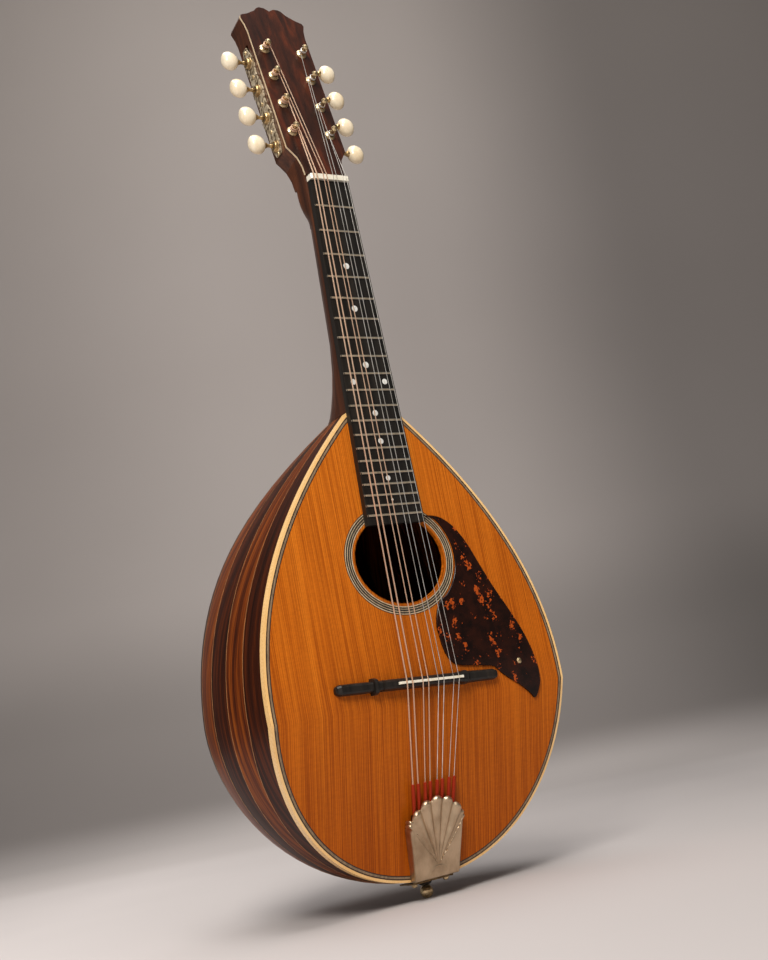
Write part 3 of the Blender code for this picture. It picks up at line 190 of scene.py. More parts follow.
FACE_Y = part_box("soundboard")[0][1]
HEAD = Matrix.Translation((0.0, FACE_Y, HEAD_BASE_Z)) @ Matrix.Rotation(-HEAD_TILT, 4, "X")
TO_FRONT = Matrix.Rotation(pi / 2, 4, "X")
ANY_WAY_UP = Vector((0.31, 0.17, 0.93)).normalized()


# Shape helpers

def fall(z):
    """How far the soundboard has fallen back at a height below its bend."""
    return tan(BEND) * max(0.0, BEND_Z - z)


def soft_fall(z):
    """The same with a rounded bend."""
    below = BEND_Z - z
    return tan(BEND) * (below + hypot(below, BEND_SOFTNESS)) / 2


def on_face(x, proud, z):
    """A point that stands proud of the bent soundboard's face."""
    return Vector((x, FACE_Y + fall(z) - proud, z))


def on_head(x, proud, s):
    """A point in front of the head's wooden face."""
    return HEAD @ Vector((x, -proud, s))


def new_object(mesh, name, *materials):
    item = bpy.data.objects.new(name, mesh)
    bpy.context.scene.collection.objects.link(item)
    for one in materials:
        mesh.materials.append(one)
    return item


def loft(rings, closed_ends=True, around=True):
    """A mesh skinned over rings of equal length."""
    work = bmesh.new()
    made = [[work.verts.new(point) for point in ring] for ring in rings]
    count = len(rings[0])
    for low, high in zip(made, made[1:]):
        for i in range(count if around else count - 1):
            j = (i + 1) % count
            work.faces.new((low[i], low[j], high[j], high[i]))
    if closed_ends and around:
        work.faces.new(made[0])
        work.faces.new(made[-1])
    bmesh.ops.recalc_face_normals(work, faces=work.faces)
    return work


def to_mesh(works, name, smooth=35.0):
    """One mesh from one or several bmeshes."""
    mesh = bpy.data.meshes.new(name)
    total = bmesh.new()
    for work in works:
        part = bpy.data.meshes.new("part")
        work.to_mesh(part)
        work.free()
        total.from_mesh(part)
        bpy.data.meshes.remove(part)
    total.to_mesh(mesh)
    total.free()
    mesh.shade_smooth()
    mesh.set_sharp_from_angle(angle=radians(smooth))
    return mesh


def dress(works, name, slot, *materials, body="body", replaces=(), smooth=35.0):
    """A piece from one or several bmeshes, with its body and the CAD nodes that it stands for. The slot is
    not used.
    """
    item = new_object(to_mesh(works, name, smooth), name, *materials)
    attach(item, body)
    if replaces:
        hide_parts(*replaces)
    return item


def circle(count, shift=0.0):
    """The cosine and sine of equal turns."""
    turns = [2 * pi * (i + shift) / count for i in range(count)]
    return [(cos(turn), sin(turn)) for turn in turns]


def lathe(profile, matrix, steps, solid=True):
    """A solid turned round a matrix's Z from (radius, height) points, or a ring where it isn't solid."""
    rings = []
    for radius, height in profile if solid else profile + profile[:1]:
        rings.append([matrix @ Vector((radius * x, radius * y, height)) for x, y in circle(steps)])
    return loft(rings, closed_ends=solid)


def turned(profile, matrices, steps, name, slot, material, solid=True):
    """Equal pieces turned from one profile, a matrix for each."""
    dress([lathe(profile, matrix, steps, solid) for matrix in matrices], name, slot, material)


def heading(points, i):
    """The way along points at one of them, from its neighbour before to its neighbour after."""
    return (points[min(i + 1, len(points) - 1)] - points[max(i - 1, 0)]).normalized()


def tube(points, radii, sides):
    """A round tube along points, with a radius for each."""
    rings = []
    side = None
    for i, (point, radius) in enumerate(zip(points, radii)):
        along = heading(points, i)
        if side is None:
            side = along.cross(ANY_WAY_UP).normalized()
        else:
            side = (side - along * side.dot(along)).normalized()
        other = along.cross(side)
        rings.append([point + radius * (x * side + y * other) for x, y in circle(sides)])
    return loft(rings)


def strip(outer, inner, proud, sunk):
    """A closed flat strip on the bent face, between two outlines of equal length."""
    rings = []
    for a, b in zip(outer + outer[:1], inner + inner[:1]):
        corners = ((a, proud), (b, proud), (b, -sunk), (a, -sunk))
        rings.append([on_face(point.x, height, point.y) for point, height in corners])
    return loft(rings, closed_ends=False)


# Materials

class Paint:
    """A node material with short calls for its textures."""

    def __init__(self, name, roughness, metallic=0.0, coat=0.0, coat_roughness=0.1, specular=0.5):
        self.material = bpy.data.materials.new(name)
        self.material.use_nodes = True
        self.tree = self.material.node_tree
        self.shader = self.tree.nodes["Principled BSDF"]
        values = {
            "Roughness": roughness, "Metallic": metallic, "Specular IOR Level": specular,
            "Coat Weight": coat, "Coat Roughness": coat_roughness,
        }
        for socket, value in values.items():
            self.feed(self.shader.inputs[socket], value)
        self.object_place = self.node("TexCoord").outputs["Object"]

    def feed(self, socket, value):
        """Links an output to a socket, or sets the socket's own value."""
        if isinstance(value, bpy.types.NodeSocket):
            self.tree.links.new(value, socket)
        elif socket.type == "RGBA":
            socket.default_value = (*value, 1.0)
        else:
            socket.default_value = value

    def node(self, kind, **inputs):
        """A node with its inputs, whose names have an underscore in place of a space."""
        made = self.tree.nodes.new("ShaderNode" + kind)
        for name, value in inputs.items():
            self.feed(made.inputs[name.replace("_", " ")], value)
        return made

    def split(self, vector=None):
        """The X, Y and Z of a vector, or of the place on the object."""
        return self.node("SeparateXYZ", Vector=vector or self.object_place).outputs

    def place(self, scale, turn=(0.0, 0.0, 0.0), source=None):
        """A place, by default the one on the object, stretched by a factor for each axis or for all."""
        if not isinstance(scale, tuple):
            scale = (scale, scale, scale)
        mapping = self.node("Mapping", Vector=source or self.object_place, Scale=scale, Rotation=turn)
        return mapping.outputs["Vector"]

    def round_bowl(self):
        """A place whose X runs round the bowl and whose Z is height, so that grain follows the strips."""
        here = self.split()
        depth = self.math("SUBTRACT", here["Y"], FACE_Y + BOWL_AXIS_DEPTH)
        turn = self.math("ARCTAN2", depth, here["X"])
        arc = self.math("MULTIPLY", turn, BOWL_MEAN_RADIUS)
        return self.node("CombineXYZ", X=arc, Z=here["Z"]).outputs["Vector"]

    def noise(self, scale, detail=4.0, roughness=0.55, distortion=0.0, source=None):
        place = self.place(scale, source=source)
        return self.node(
            "TexNoise", Vector=place, Scale=1, Detail=detail, Roughness=roughness, Distortion=distortion
        ).outputs["Fac"]

    def wave(self, stretch, scale, distortion=0.0, direction="X", detail=2.0, detail_scale=1.0):
        texture = self.node(
            "TexWave", Vector=self.place(stretch), Scale=scale, Distortion=distortion, Detail=detail,
            Detail_Scale=detail_scale,
        )
        texture.bands_direction = direction
        return texture.outputs["Fac"]

    def cells(self, place, scale, feature="F1"):
        texture = self.node("TexVoronoi", Vector=place, Scale=scale)
        texture.feature = feature
        return texture.outputs

    def ramp(self, source, stops, interpolation="LINEAR"):
        """Colours over a value, from (value, colour) stops in which one number is a grey."""
        node = self.node("ValToRGB", Fac=source)
        node.color_ramp.interpolation = interpolation
        elements = node.color_ramp.elements
        while len(elements) < len(stops):
            elements.new(0.5)
        for element, (position, colour) in zip(elements, stops):
            element.position = position
            if not isinstance(colour, tuple):
                colour = (colour, colour, colour)
            element.color = (*colour, 1.0)
        return node.outputs["Color"]

    def mix(self, factor, a, b, blend="MIX", data_type="RGBA"):
        node = self.node("Mix")
        node.data_type = data_type
        if data_type == "RGBA":
            node.blend_type = blend
        for name, value in (("Factor", factor), ("A", a), ("B", b)):
            self.feed(node.inputs[name], value)
        return node.outputs["Result"]

    def shade(self, tone, share, source, stops):
        """A tone that a texture darkens or lightens."""
        return self.mix(share, tone, self.ramp(source, stops), "MULTIPLY")

    def math(self, operation, a, b):
        node = self.node("Math")
        node.operation = operation
        self.feed(node.inputs[0], a)
        self.feed(node.inputs[1], b)
        return node.outputs["Value"]

    def finish(self, colour, gloss=None, relief=None):
        """The material, with gloss as (source, stops) and relief as (source, strength, depth, normals)."""
        inputs = self.shader.inputs
        self.feed(inputs["Base Color"], colour)
        if gloss:
            self.feed(inputs["Roughness"], self.ramp(*gloss))
        if relief:
            bump = self.node("Bump", Height=relief[0], Strength=relief[1], Distance=relief[2])
            for base in relief[3:]:
                self.feed(bump.inputs["Normal"], base)
                self.feed(inputs["Coat Normal"], base)
            self.feed(inputs["Normal"], bump.outputs["Normal"])
        return self.material

    def soft_bend(self):
        """Normals that turn gently from the lower face's slope to the upper face's."""
        start, end = BEND_Z - SOFT_BEND_REACH, BEND_Z + SOFT_BEND_REACH
        share = self.node("MapRange", Value=self.split()["Z"], From_Min=start, From_Max=end)
        share.interpolation_type = "SMOOTHERSTEP"
        low = (0.0, -cos(BEND), -sin(BEND))
        bent = self.mix(share.outputs["Result"], low, (0.0, -1.0, 0.0), data_type="VECTOR")
        normal = self.node("NewGeometry").outputs["Normal"]
        front = self.math("LESS_THAN", self.split(normal)["Y"], -0.93)
        unit = self.node("VectorMath")
        unit.operation = "NORMALIZE"
        self.feed(unit.inputs[0], self.mix(front, normal, bent, data_type="VECTOR"))
        return unit.outputs["Vector"]


def spruce():
    """Amber lacquered spruce: a fine straight grain along Z, with broader bands, and painted shade that
    darkens it towards the bottom.
    """
    paint = Paint("spruce_top", 0.45, coat=0.05, coat_roughness=0.2, specular=0.12)
    tone = paint.ramp(paint.noise((105, 1.0, 1.2), 3.0), [
        (0.3, (0.59, 0.154, 0.0088)), (0.52, (0.635, 0.172, 0.0104)), (0.75, (0.685, 0.197, 0.0136)),
    ])
    grain = paint.wave((1.0, 0.01, 0.006), 200, 2.6, detail_scale=0.7)
    threads = paint.noise((1300, 8.0, 9.0), 3.0)
    rays = paint.noise((240, 20, 700), 2.0)
    cloud = paint.noise((9.0, 3.0, 7.0), 2.0)
    # Painted shade: a ramp by height darkens the soundboard towards the bottom, where less light falls.
    rise = paint.math("MULTIPLY", paint.split()["Z"], 2.6)
    for share, source, stops in (
        (0.36, grain, [(0.0, 1.04), (0.55, (0.95, 0.92, 0.88)), (1.0, (0.56, 0.41, 0.26))]),
        (0.85, threads, [(0.36, (0.62, 0.5, 0.38)), (0.58, (1.06, 1.05, 1.04))]),
        (0.8, rays, [(0.36, (0.93, 0.91, 0.89)), (0.62, 1.04)]),
        (0.8, cloud, [(0.3, (0.89, 0.86, 0.8)), (0.7, 1.05)]),
        (1.0, rise, [(0.0, (0.78, 0.64, 0.24)), (0.8, 1.0)]),
    ):
        tone = paint.shade(tone, share, source, stops)
    return paint.finish(tone, relief=(grain, 0.1, 0.00008, paint.soft_bend()))


def grained(paint, bands, tones, share, pores, pits, pit_depth):
    """Bands of colour with fine pores over them."""
    tone = paint.shade(paint.ramp(bands, tones), share, pores, pits)
    return paint.finish(tone, relief=(pores, pit_depth, 0.0001))


def rosewood(name, dark, middle, light):
    """Streaked rosewood: ribbons of colour along the strips with fine pores."""
    paint = Paint(name, 0.36, coat=0.05, coat_roughness=0.12, specular=0.06)
    around = paint.round_bowl()
    ribbons = paint.noise((230, 1.0, 6.0), 4.0, 0.62, 0.25, around)
    pores = paint.noise((1400, 1.0, 40), 2.0, source=around)
    tones = [(0.34, dark), (0.5, middle), (0.66, light)]
    return grained(paint, ribbons, tones, 0.7, pores, [(0.38, (0.45, 0.38, 0.34)), (0.55, 1.0)], 0.12)


def dark_wood(name, coat, bands, distortion, tones, pores, pits):
    """Dark polished wood with bands and pores along Z, each with its scale."""
    paint = Paint(name, 0.34, coat=coat, coat_roughness=0.14, specular=0.3)
    bands = paint.noise(bands, 5.0, distortion=distortion)
    return grained(paint, bands, tones, 0.6, paint.noise(pores, 2.0), [(0.38, pits), (0.54, 1.0)], 0.1)


def mahogany():
    tones = [(0.3, (0.03, 0.0085, 0.003)), (0.52, (0.072, 0.02, 0.0062)), (0.72, (0.14, 0.04, 0.011))]
    pores = (1200, 1200, 40)
    return dark_wood("stained_mahogany", 0.2, (150, 150, 3.0), 0.3, tones, pores, (0.55, 0.5, 0.48))


def veneer():
    """The head's face: dark wood with reddish streaks."""
    tones = [(0.34, (0.02, 0.0062, 0.0034)), (0.52, (0.046, 0.012, 0.0052)), (0.74, (0.13, 0.026, 0.008))]
    pores = (1100, 1100, 50)
    return dark_wood("head_face_wood", 0.22, (110, 110, 4.0), 0.6, tones, pores, (0.6, 0.55, 0.52))


def plain_finish(name, roughness, texture, stops, gloss=None, relief=(), **looks):
    """A finish whose colour, and where given its gloss and relief, come from one noise texture."""
    paint = Paint(name, roughness, **looks)
    source = paint.noise(*texture)
    relief = relief and (source, *relief)
    return paint.finish(paint.ramp(source, stops), gloss and (source, gloss), relief)


def ebony():
    tones = [(0.35, (0.007, 0.0058, 0.0048)), (0.62, (0.0165, 0.013, 0.01)), (0.8, (0.03, 0.021, 0.014))]
    gloss = [(0.3, 0.3), (0.8, 0.48)]
    return plain_finish("ebony", 0.45, ((400, 400, 12),), tones, gloss, (0.15, 0.0001), specular=0.35)


def plastic(name, light, dark, scale, roughness=0.26, coat=0.3):
    """Celluloid or bone: a soft cloud of two tones, with a little wear in the gloss."""
    paint = Paint(name, roughness, coat=coat, coat_roughness=0.12)
    cloud = paint.noise((scale, scale, scale * 0.5), distortion=0.3)
    wear = paint.noise((900, 900, 500), 3.0)
    gloss = (wear, [(0.3, roughness * 0.85), (0.7, roughness * 1.35)])
    return paint.finish(paint.ramp(cloud, [(0.32, dark), (0.62, light)]), gloss, (wear, 0.05, 0.00005))


def tortoise():
    """Dark tortoise celluloid with scattered orange-red flecks."""
    paint = Paint("tortoise", 0.24, coat=0.12, coat_roughness=0.08, specular=0.16)
    cells = paint.cells(paint.place((1.0, 0.1, 0.7), (0.0, radians(38), 0.0)), 138)
    chance = paint.node("SeparateColor", Color=cells["Color"]).outputs
    ragged = paint.noise(520, 3.0)
    torn = paint.math("MULTIPLY", paint.math("SUBTRACT", ragged, 0.5), 2.0)
    distance = paint.math("ADD", cells["Distance"], torn)
    size = paint.math("MULTIPLY", chance["Green"], 0.2)
    distance = paint.math("SUBTRACT", distance, size)
    spot = paint.ramp(distance, [(0.03, 1.0), (0.14, 0.0)])
    fleck = paint.math("MULTIPLY", spot, paint.math("GREATER_THAN", chance["Red"], 0.5))
    warp = paint.noise(80, 3.0)
    ground = paint.ramp(warp, [(0.35, (0.006, 0.0022, 0.0014)), (0.65, (0.024, 0.0056, 0.0024))])
    glow = paint.ramp(distance, [
        (0.0, (0.42, 0.07, 0.008)), (0.05, (0.24, 0.028, 0.004)), (0.12, (0.06, 0.009, 0.003)),
    ])
    return paint.finish(paint.mix(fleck, ground, glow), relief=(warp, 0.02, 0.0001, paint.soft_bend()))


def brass(name="aged_brass", light=(0.62, 0.43, 0.2), dark=(0.2, 0.12, 0.055), roughness=0.32):
    tones = [(0.3, dark), (0.58, light)]
    gloss = [(0.3, roughness * 1.5), (0.7, roughness * 0.8)]
    return plain_finish(name, roughness, (320, 5), tones, gloss, (0.08, 0.0001), metallic=1)


def plate_metal():
    """The tuner plates: old silvered brass with a shallow leafy engraving."""
    paint = Paint("engraved_plate", 0.4, 0.55)
    curls = paint.wave(1.0, 70, 11, "DIAGONAL", 2.0, 1.8)
    cut = paint.math("MULTIPLY", curls, paint.cells(paint.place(1.0), 460, "SMOOTH_F1")["Distance"])
    base = paint.ramp(paint.noise(260), [(0.32, (0.4, 0.31, 0.19)), (0.6, (0.8, 0.68, 0.49))])
    tone = paint.shade(base, 0.9, cut, [(0.06, (0.22, 0.17, 0.12)), (0.24, 1.0)])
    return paint.finish(tone, relief=(cut, 0.8, 0.0003))


def nickel():
    """The tail cover: satin nickel with fine brushing and light tarnish."""
    paint = Paint("satin_nickel", 0.36, 1.0)
    tarnish = paint.noise((90, 90, 60))
    tone = paint.ramp(tarnish, [(0.3, (0.42, 0.305, 0.195)), (0.65, (0.64, 0.49, 0.33))])
    brushed = paint.noise((2400, 900, 60), 3.0)
    return paint.finish(tone, (brushed, [(0.3, 0.3), (0.7, 0.46)]), (brushed, 0.1, 0.00006))


def wound_string():
    paint = Paint("bronze_winding", 0.4, 0.75)
    turns = paint.wave(1.0, 820, 0.0, "Z", 0.0)
    tone = paint.ramp(turns, [(0.1, (0.62, 0.36, 0.22)), (0.6, (1.0, 0.74, 0.54))])
    return paint.finish(tone, relief=(turns, 0.5, 0.0001))


def plain_string():
    tones = [(0.35, (0.6, 0.56, 0.5)), (0.6, (0.9, 0.86, 0.8))]
    return plain_finish("plain_steel", 0.34, ((300, 300, 60), 3), tones, metallic=0.8)


def silk():
    """Red silk thread, wrapped in tight turns."""
    paint = Paint("red_silk", 0.7, specular=0.2)
    turns = paint.wave(1.0, 560, 0.8, "Z", 1.0)
    tone = paint.ramp(turns, [(0.05, (0.2, 0.009, 0.002)), (0.75, (0.46, 0.034, 0.005))])
    return paint.finish(tone, relief=(turns, 0.7, 0.00015))


def pearl():
    tones = [(0.3, (0.66, 0.66, 0.6)), (0.6, (0.9, 0.88, 0.84))]
    texture = ((500, 500, 260), 3, 0.55, 1.2)
    return plain_finish("pearl_dot", 0.22, texture, tones, coat=0.5, coat_roughness=0.08)


def line_wood(name, light, dark):
    """Narrow inlaid lines with the grain along them."""
    tones = [(0.34, dark), (0.6, light)]
    texture = ((500, 500, 120), 3)
    return plain_finish(name, 0.42, texture, tones, coat=0.08, coat_roughness=0.15, specular=0.3)


SPRUCE = spruce()
DARK_STAVE = rosewood(
    "dark_rosewood", (0.01, 0.0018, 0.0004), (0.038, 0.0062, 0.0008), (0.105, 0.019, 0.0016)
)
RED_STAVE = rosewood(
    "reddish_rosewood", (0.036, 0.0058, 0.0008), (0.13, 0.023, 0.0018), (0.3, 0.072, 0.006)
)
MAHOGANY = mahogany()
VENEER_WOOD = veneer()
EBONY = ebony()
BINDING = plastic("cream_binding", (0.97, 0.63, 0.27), (0.9, 0.53, 0.19), 40)
BONE = plastic("bone", (0.88, 0.83, 0.7), (0.78, 0.7, 0.53), 220)
IVORY = plastic("ivory", (0.92, 0.8, 0.6), (0.86, 0.69, 0.45), 90, 0.24, 0.4)
TORTOISE = tortoise()
BRASS = brass()
# Painted shade: a brass darkened for the tailpiece base, which sits in shadow under the cover.
SHADE_PAINTED_BRASS = brass("shade_painted_brass", (0.2, 0.13, 0.065), (0.08, 0.05, 0.026), 0.42)
BRIGHT_BRASS = brass("worn_brass", (0.74, 0.58, 0.34), (0.36, 0.24, 0.12), 0.26)
FRET_METAL = brass("fret_metal", (0.86, 0.74, 0.56), (0.55, 0.45, 0.32), 0.34)
PLATE_METAL = plate_metal()
NICKEL = nickel()
WOUND = wound_string()
PLAIN = plain_string()
SILK = silk()
PEARL = pearl()
LIGHT_LINE = line_wood("light_line", (0.7, 0.55, 0.36), (0.52, 0.38, 0.23))
FILLET_LINE = line_wood("stave_fillet", (0.4, 0.18, 0.065), (0.24, 0.1, 0.034))
DARK_LINE = line_wood("dark_line", (0.05, 0.022, 0.012), (0.024, 0.011, 0.007))
GREY_LINE = line_wood("grey_line", (0.3, 0.21, 0.125), (0.19, 0.13, 0.078))
ROSETTE_BAND = line_wood("rosette_band", (0.05, 0.04, 0.028), (0.022, 0.017, 0.012))


def paint_nodes():
    """Materials for the CAD nodes that stay in sight, and for those inside."""
    finishes = [
        (SPRUCE, "soundboard brace_1 brace_2"), (MAHOGANY, "neck tail_block rim_lining"),
        (VENEER_WOOD, "head_veneer"), (EBONY, "fingerboard bridge"), (ROSETTE_BAND, "rosette"),
        # The tailpiece base takes the darkened brass as painted shade.
        (BONE, "nut saddle"), (BRIGHT_BRASS, "pickguard_screw end_pin"), (SHADE_PAINTED_BRASS, "tailpiece_base"),
        (PLATE_METAL, "tuner_plate_left tuner_plate_right"),
    ]
    for number in range(1, STRING_COUNT + 1):
        finishes.append((WOUND if number <= WOUND_COUNT else PLAIN, "string_%d" % number))
    for number in range(1, len(POST_HEIGHTS) + 1):
        finishes.append((BRIGHT_BRASS, "post_left_%d post_right_%d" % (number, number)))
    for material, names in finishes:
        for name in names.split():
            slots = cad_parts[name].data.materials
            slots.clear()
            slots.append(material)


# The body

def half_width(z):
    if z <= WIDE_Z:
        share = min(1.0, (WIDE_Z - z) / WIDE_ABOVE_TAIL)
        return BODY_HALF_WIDTH * (1 - share ** LOWER_BOUT_POWER) ** (1 / LOWER_BOUT_POWER)
    share = (z - WIDE_Z) / SHOULDER_REACH
    return BODY_HALF_WIDTH * (1 - SHOULDER_DROP * share ** SHOULDER_POWER)


def board_half_width(z):
    share = (NUT_Z - z) / (NUT_Z - BOARD_END_Z)
    return NUT_HALF_WIDTH + (BOARD_END_HALF_WIDTH - NUT_HALF_WIDTH) * share


def find_joint():
    """The height where the body is as narrow as the fingerboard."""
    low, high = WIDE_Z, WIDE_Z + SHOULDER_REACH
    for _ in range(40):
        middle = (low + high) / 2
        if half_width(middle) > board_half_width(middle):
            low = middle
        else:
            high = middle
    return (low + high) / 2


JOINT_Z = find_joint()


def depth_at(z):
    if z <= WIDE_Z:
        share = min(1.0, (WIDE_Z - z) / WIDE_ABOVE_TAIL)
        long_curve = (1 - share ** TAIL_PROFILE_POWER) ** (1 / TAIL_PROFILE_POWER)
        blunt_end = (1 - share ** TAIL_BLUNT_POWER) ** (1 / TAIL_BLUNT_POWER)
        curve = long_curve + (blunt_end - long_curve) * TAIL_BLUNT_SHARE
        return fall(z) + (BOWL_DEPTH - fall(z)) * curve
    share = (z - WIDE_Z) / (JOINT_Z - WIDE_Z)
    return BOWL_DEPTH - (BOWL_DEPTH - HEEL_DEPTH) * share ** SHOULDER_PROFILE_POWER


def share_of_reach(z):
    if z < BEND_Z:
        return ((BEND_Z - z) / BEND_ABOVE_TAIL) ** 2
    return min(1.0, (z - BEND_Z) / (JOINT_Z - BEND_Z)) ** 2


def rounded_square(turn, power):
    """How far across and inward a half turn of a superellipse reaches."""
    across = copysign(abs(cos(turn)) ** (2 / power), cos(turn))
    return across, abs(sin(turn)) ** (2 / power)


def bowl_point(turn, z):
    """A point of the bowl's outer surface, from the right rim round to the left."""
    across, inward = rounded_square(turn, BOWL_SECTION_POWER)
    back = fall(z) + (soft_fall(z) - fall(z)) * min(1.0, 3 * inward) * (1 - share_of_reach(z))
    rim = BINDING_DEPTH + GAP + back
    width = half_width(z)
    depth = max(depth_at(z), rim + 1e-4)
    bulge = BOWL_BULGE * sin(2 * turn)
    return Vector((width * (across + bulge), FACE_Y + rim + (depth - rim) * inward, z))


def bowl_normal(turn, z):
    step = 1e-4
    round_it = bowl_point(min(turn + step, pi), z) - bowl_point(max(turn - step, 0.0), z)
    reach = min(step, 0.2 * (z - TAIL_Z))
    along = bowl_point(turn, z + reach) - bowl_point(turn, z - reach)
    normal = along.cross(round_it).normalized()
    centre = Vector((0.0, FACE_Y + 0.3 * BOWL_DEPTH, WIDE_Z))
    if normal.dot(bowl_point(turn, z) - centre) < 0:
        normal.negate()
    return normal


def stave_turns(count):
    """Turns round the bowl that part it into strips of equal width at its widest."""
    samples = 600
    turns = [pi * i / samples for i in range(samples + 1)]
    points = [bowl_point(turn, WIDE_Z) for turn in turns]
    lengths = [0.0, *accumulate((b - a).length for a, b in zip(points, points[1:]))]
    joints = []
    for k in range(count + 1):
        wanted = lengths[-1] * k / count
        joints.append(turns[min(range(samples + 1), key=lambda n: abs(lengths[n] - wanted))])
    return joints


def stave_heights():
    """Heights for the strips, below and above the widest place."""
    count = STAVE_STATIONS
    lower = [WIDE_Z - WIDE_ABOVE_TAIL * sin(STAVE_END_ANGLE * (1 - i / count)) for i in range(count)]
    upper = [WIDE_Z + (JOINT_Z - GAP - WIDE_Z) * i / count for i in range(count + 1)]
    return lower + upper


def stave_strips():
    """The bowl's strips, more than the CAD has staves: name, staves under it, start, end, dark."""
    turns = stave_turns(STRIP_COUNT)
    strips = []
    for k in range(STRIP_COUNT):
        first = k * STAVE_COUNT // STRIP_COUNT
        last = -(-(k + 1) * STAVE_COUNT // STRIP_COUNT)
        nodes = ["stave_%02d" % (n + 1) for n in range(first, last)]
        strips.append(("bowl_strip_%02d" % (k + 1), nodes, turns[k], turns[k + 1], k % 2 == 0))
    return strips


def add_staves():
    """Smooth strips over the CAD staves: the same surface with more stations, a little thinner."""
    heights = stave_heights()
    for number, (name, nodes, start, end, dark) in enumerate(stave_strips()):
        seam = SEAM_SHARE * (end - start)
        if number > 0:
            start += seam
        if number < STRIP_COUNT - 1:
            end -= seam
        steps = [start + (end - start) * i / 6 for i in range(7)]
        rings = []
        for z in heights:
            outer = [bowl_point(turn, z) for turn in steps]
            inner = [
                bowl_point(turn, z) - bowl_normal(turn, z) * STRIP_THICKNESS for turn in reversed(steps)
            ]
            rings.append(outer + inner)
        slot, material = ("dark_rosewood", DARK_STAVE) if dark else ("reddish_rosewood", RED_STAVE)
        dress([loft(rings)], name, slot, material, replaces=nodes, smooth=40.0)


def add_fillets():
    """Thin light lines let in between the strips, narrower towards the ends."""
    works = []
    heights = stave_heights()
    for _, _, turn, _, _ in stave_strips()[1:]:
        rings = []
        for index, z in enumerate(heights):
            centre = bowl_point(turn, z)
            normal = bowl_normal(turn, z)
            across = (bowl_point(turn + 0.01, z) - bowl_point(turn - 0.01, z)).normalized()
            taper = 0.55 + 0.45 * sin(pi * min(1.0, (index + 1) / len(heights)))
            half = FILLET_HALF_WIDTH * taper
            high, low = FILLET_PROUD, -FILLET_SUNK
            corners = ((half, high), (-half, high), (-half, low), (half, low))
            rings.append([centre + across * aside + normal * out for aside, out in corners])
        works.append(loft(rings))
    dress(works, "stave_fillets", "cream_binding", FILLET_LINE, smooth=60.0)


def side_heights():
    """Heights for the outline, below and above the widest place."""
    below, above = SIDE_STATIONS
    lower = [WIDE_Z - WIDE_ABOVE_TAIL * cos(pi / 2 * i / below) for i in range(below)]
    upper = [WIDE_Z + (JOINT_Z - WIDE_Z) * i / above for i in range(above + 1)]
    return lower + upper


def outline(inset):
    """The body's closed outline at an inset, split where the soundboard bends."""
    heights = side_heights()
    right = [Vector((half_width(z), z)) for z in heights]
    points = []
    for i, point in enumerate(right):
        before = right[i - 1] if i else Vector((-right[1].x, right[1].y))
        after = right[min(i + 1, len(right) - 1)]
        along = (after - before).normalized()
        points.append(point + inset * Vector((-along.y, along.x)))
    points[0].x = 0.0
    points[-1].y = JOINT_Z - inset
    for i in range(len(points) - 1):
        low, high = points[i], points[i + 1]
        if low.y < BEND_Z < high.y:
            share = (BEND_Z - low.y) / (high.y - low.y)
            points.insert(i + 1, low.lerp(high, share))
            break
    left = [Vector((-point.x, point.y)) for point in reversed(points[1:])]
    return points + left


def plate(points, top, bottom, bevel=0.0003):
    """A thin plate over the bent face with a softened upper edge, from its outline in x and z."""
    count = len(points)
    area = sum(a.x * b.y - b.x * a.y for a, b in zip(points, points[1:] + points[:1]))
    sign = 1.0 if area > 0 else -1.0
    rings = []
    for inset, y in ((0.0, -bottom), (0.0, -top + bevel), (bevel, -top)):
        ring = []
        for i, point in enumerate(points):
            along = (points[(i + 1) % count] - points[i - 1]).normalized()
            ring.append((point.x - sign * along.y * inset, y, point.y + sign * along.x * inset))
        rings.append(ring)
    work = loft(rings)
    every = work.verts[:] + work.edges[:] + work.faces[:]
    bmesh.ops.bisect_plane(work, geom=every, plane_co=(0.0, 0.0, BEND_Z), plane_no=(0.0, 0.0, 1.0))
    bmesh.ops.triangulate(work, faces=[face for face in work.faces if len(face.verts) > 4])
    for vert in work.verts:
        vert.co.y += FACE_Y + fall(vert.co.z)
    bmesh.ops.recalc_face_normals(work, faces=work.faces)
    return work


def smooth_loop(points, steps=5):
    """A closed Catmull-Rom curve through points."""
    count = len(points)
    curve = []
    for i in range(count):
        p0, p1, p2, p3 = (points[(i + k - 1) % count] for k in range(4))
        for j in range(steps):
            t = j / steps
            curve.append(0.5 * (
                2 * p1 + (p2 - p0) * t + (2 * p0 - 5 * p1 + 4 * p2 - p3) * t * t
                + (3 * p1 - p0 - 3 * p2 + p3) * t * t * t
            ))
    return curve


def add_pickguard():
    """The pickguard with a smooth outline and a neat hooked tip, and an arc round the rosette."""
    flank = [
        (0.228, 0.264), (0.319, 0.2622), (0.409, 0.254), (0.483, 0.24), (0.543, 0.223), (0.61, 0.2045),
        (0.681, 0.1875), (0.753, 0.169), (0.796, 0.1535), (0.818, 0.139), (0.814, 0.127), (0.792, 0.1178),
        (0.768, 0.115), (0.738, 0.1188), (0.689, 0.1238), (0.622, 0.1298), (0.556, 0.1362), (0.502, 0.143),
        (0.448, 0.1446), (0.349, 0.1464), (0.275, 0.1476), (0.217, 0.1506), (0.177, 0.1585), (0.16, 0.17),
        (0.157, 0.1815),
    ]
    points = [Vector((share * BODY_HALF_WIDTH, TAIL_Z + z)) for share, z in flank]
    wide = ROSETTE_LIP + ROSETTE_WIDTH + GUARD_CLEARANCE
    for degrees in range(-58, 41, 14):
        turn = radians(degrees)
        x = (HOLE_HALF_WIDTH + wide) * cos(turn)
        points.append(Vector((x, HOLE_Z + (HOLE_HALF_HEIGHT + wide) * sin(turn))))
    work = plate(smooth_loop(points), GAP + GUARD_THICKNESS, GAP)
    dress([work], "pickguard_dress", "tortoise", TORTOISE, replaces=["pickguard"])


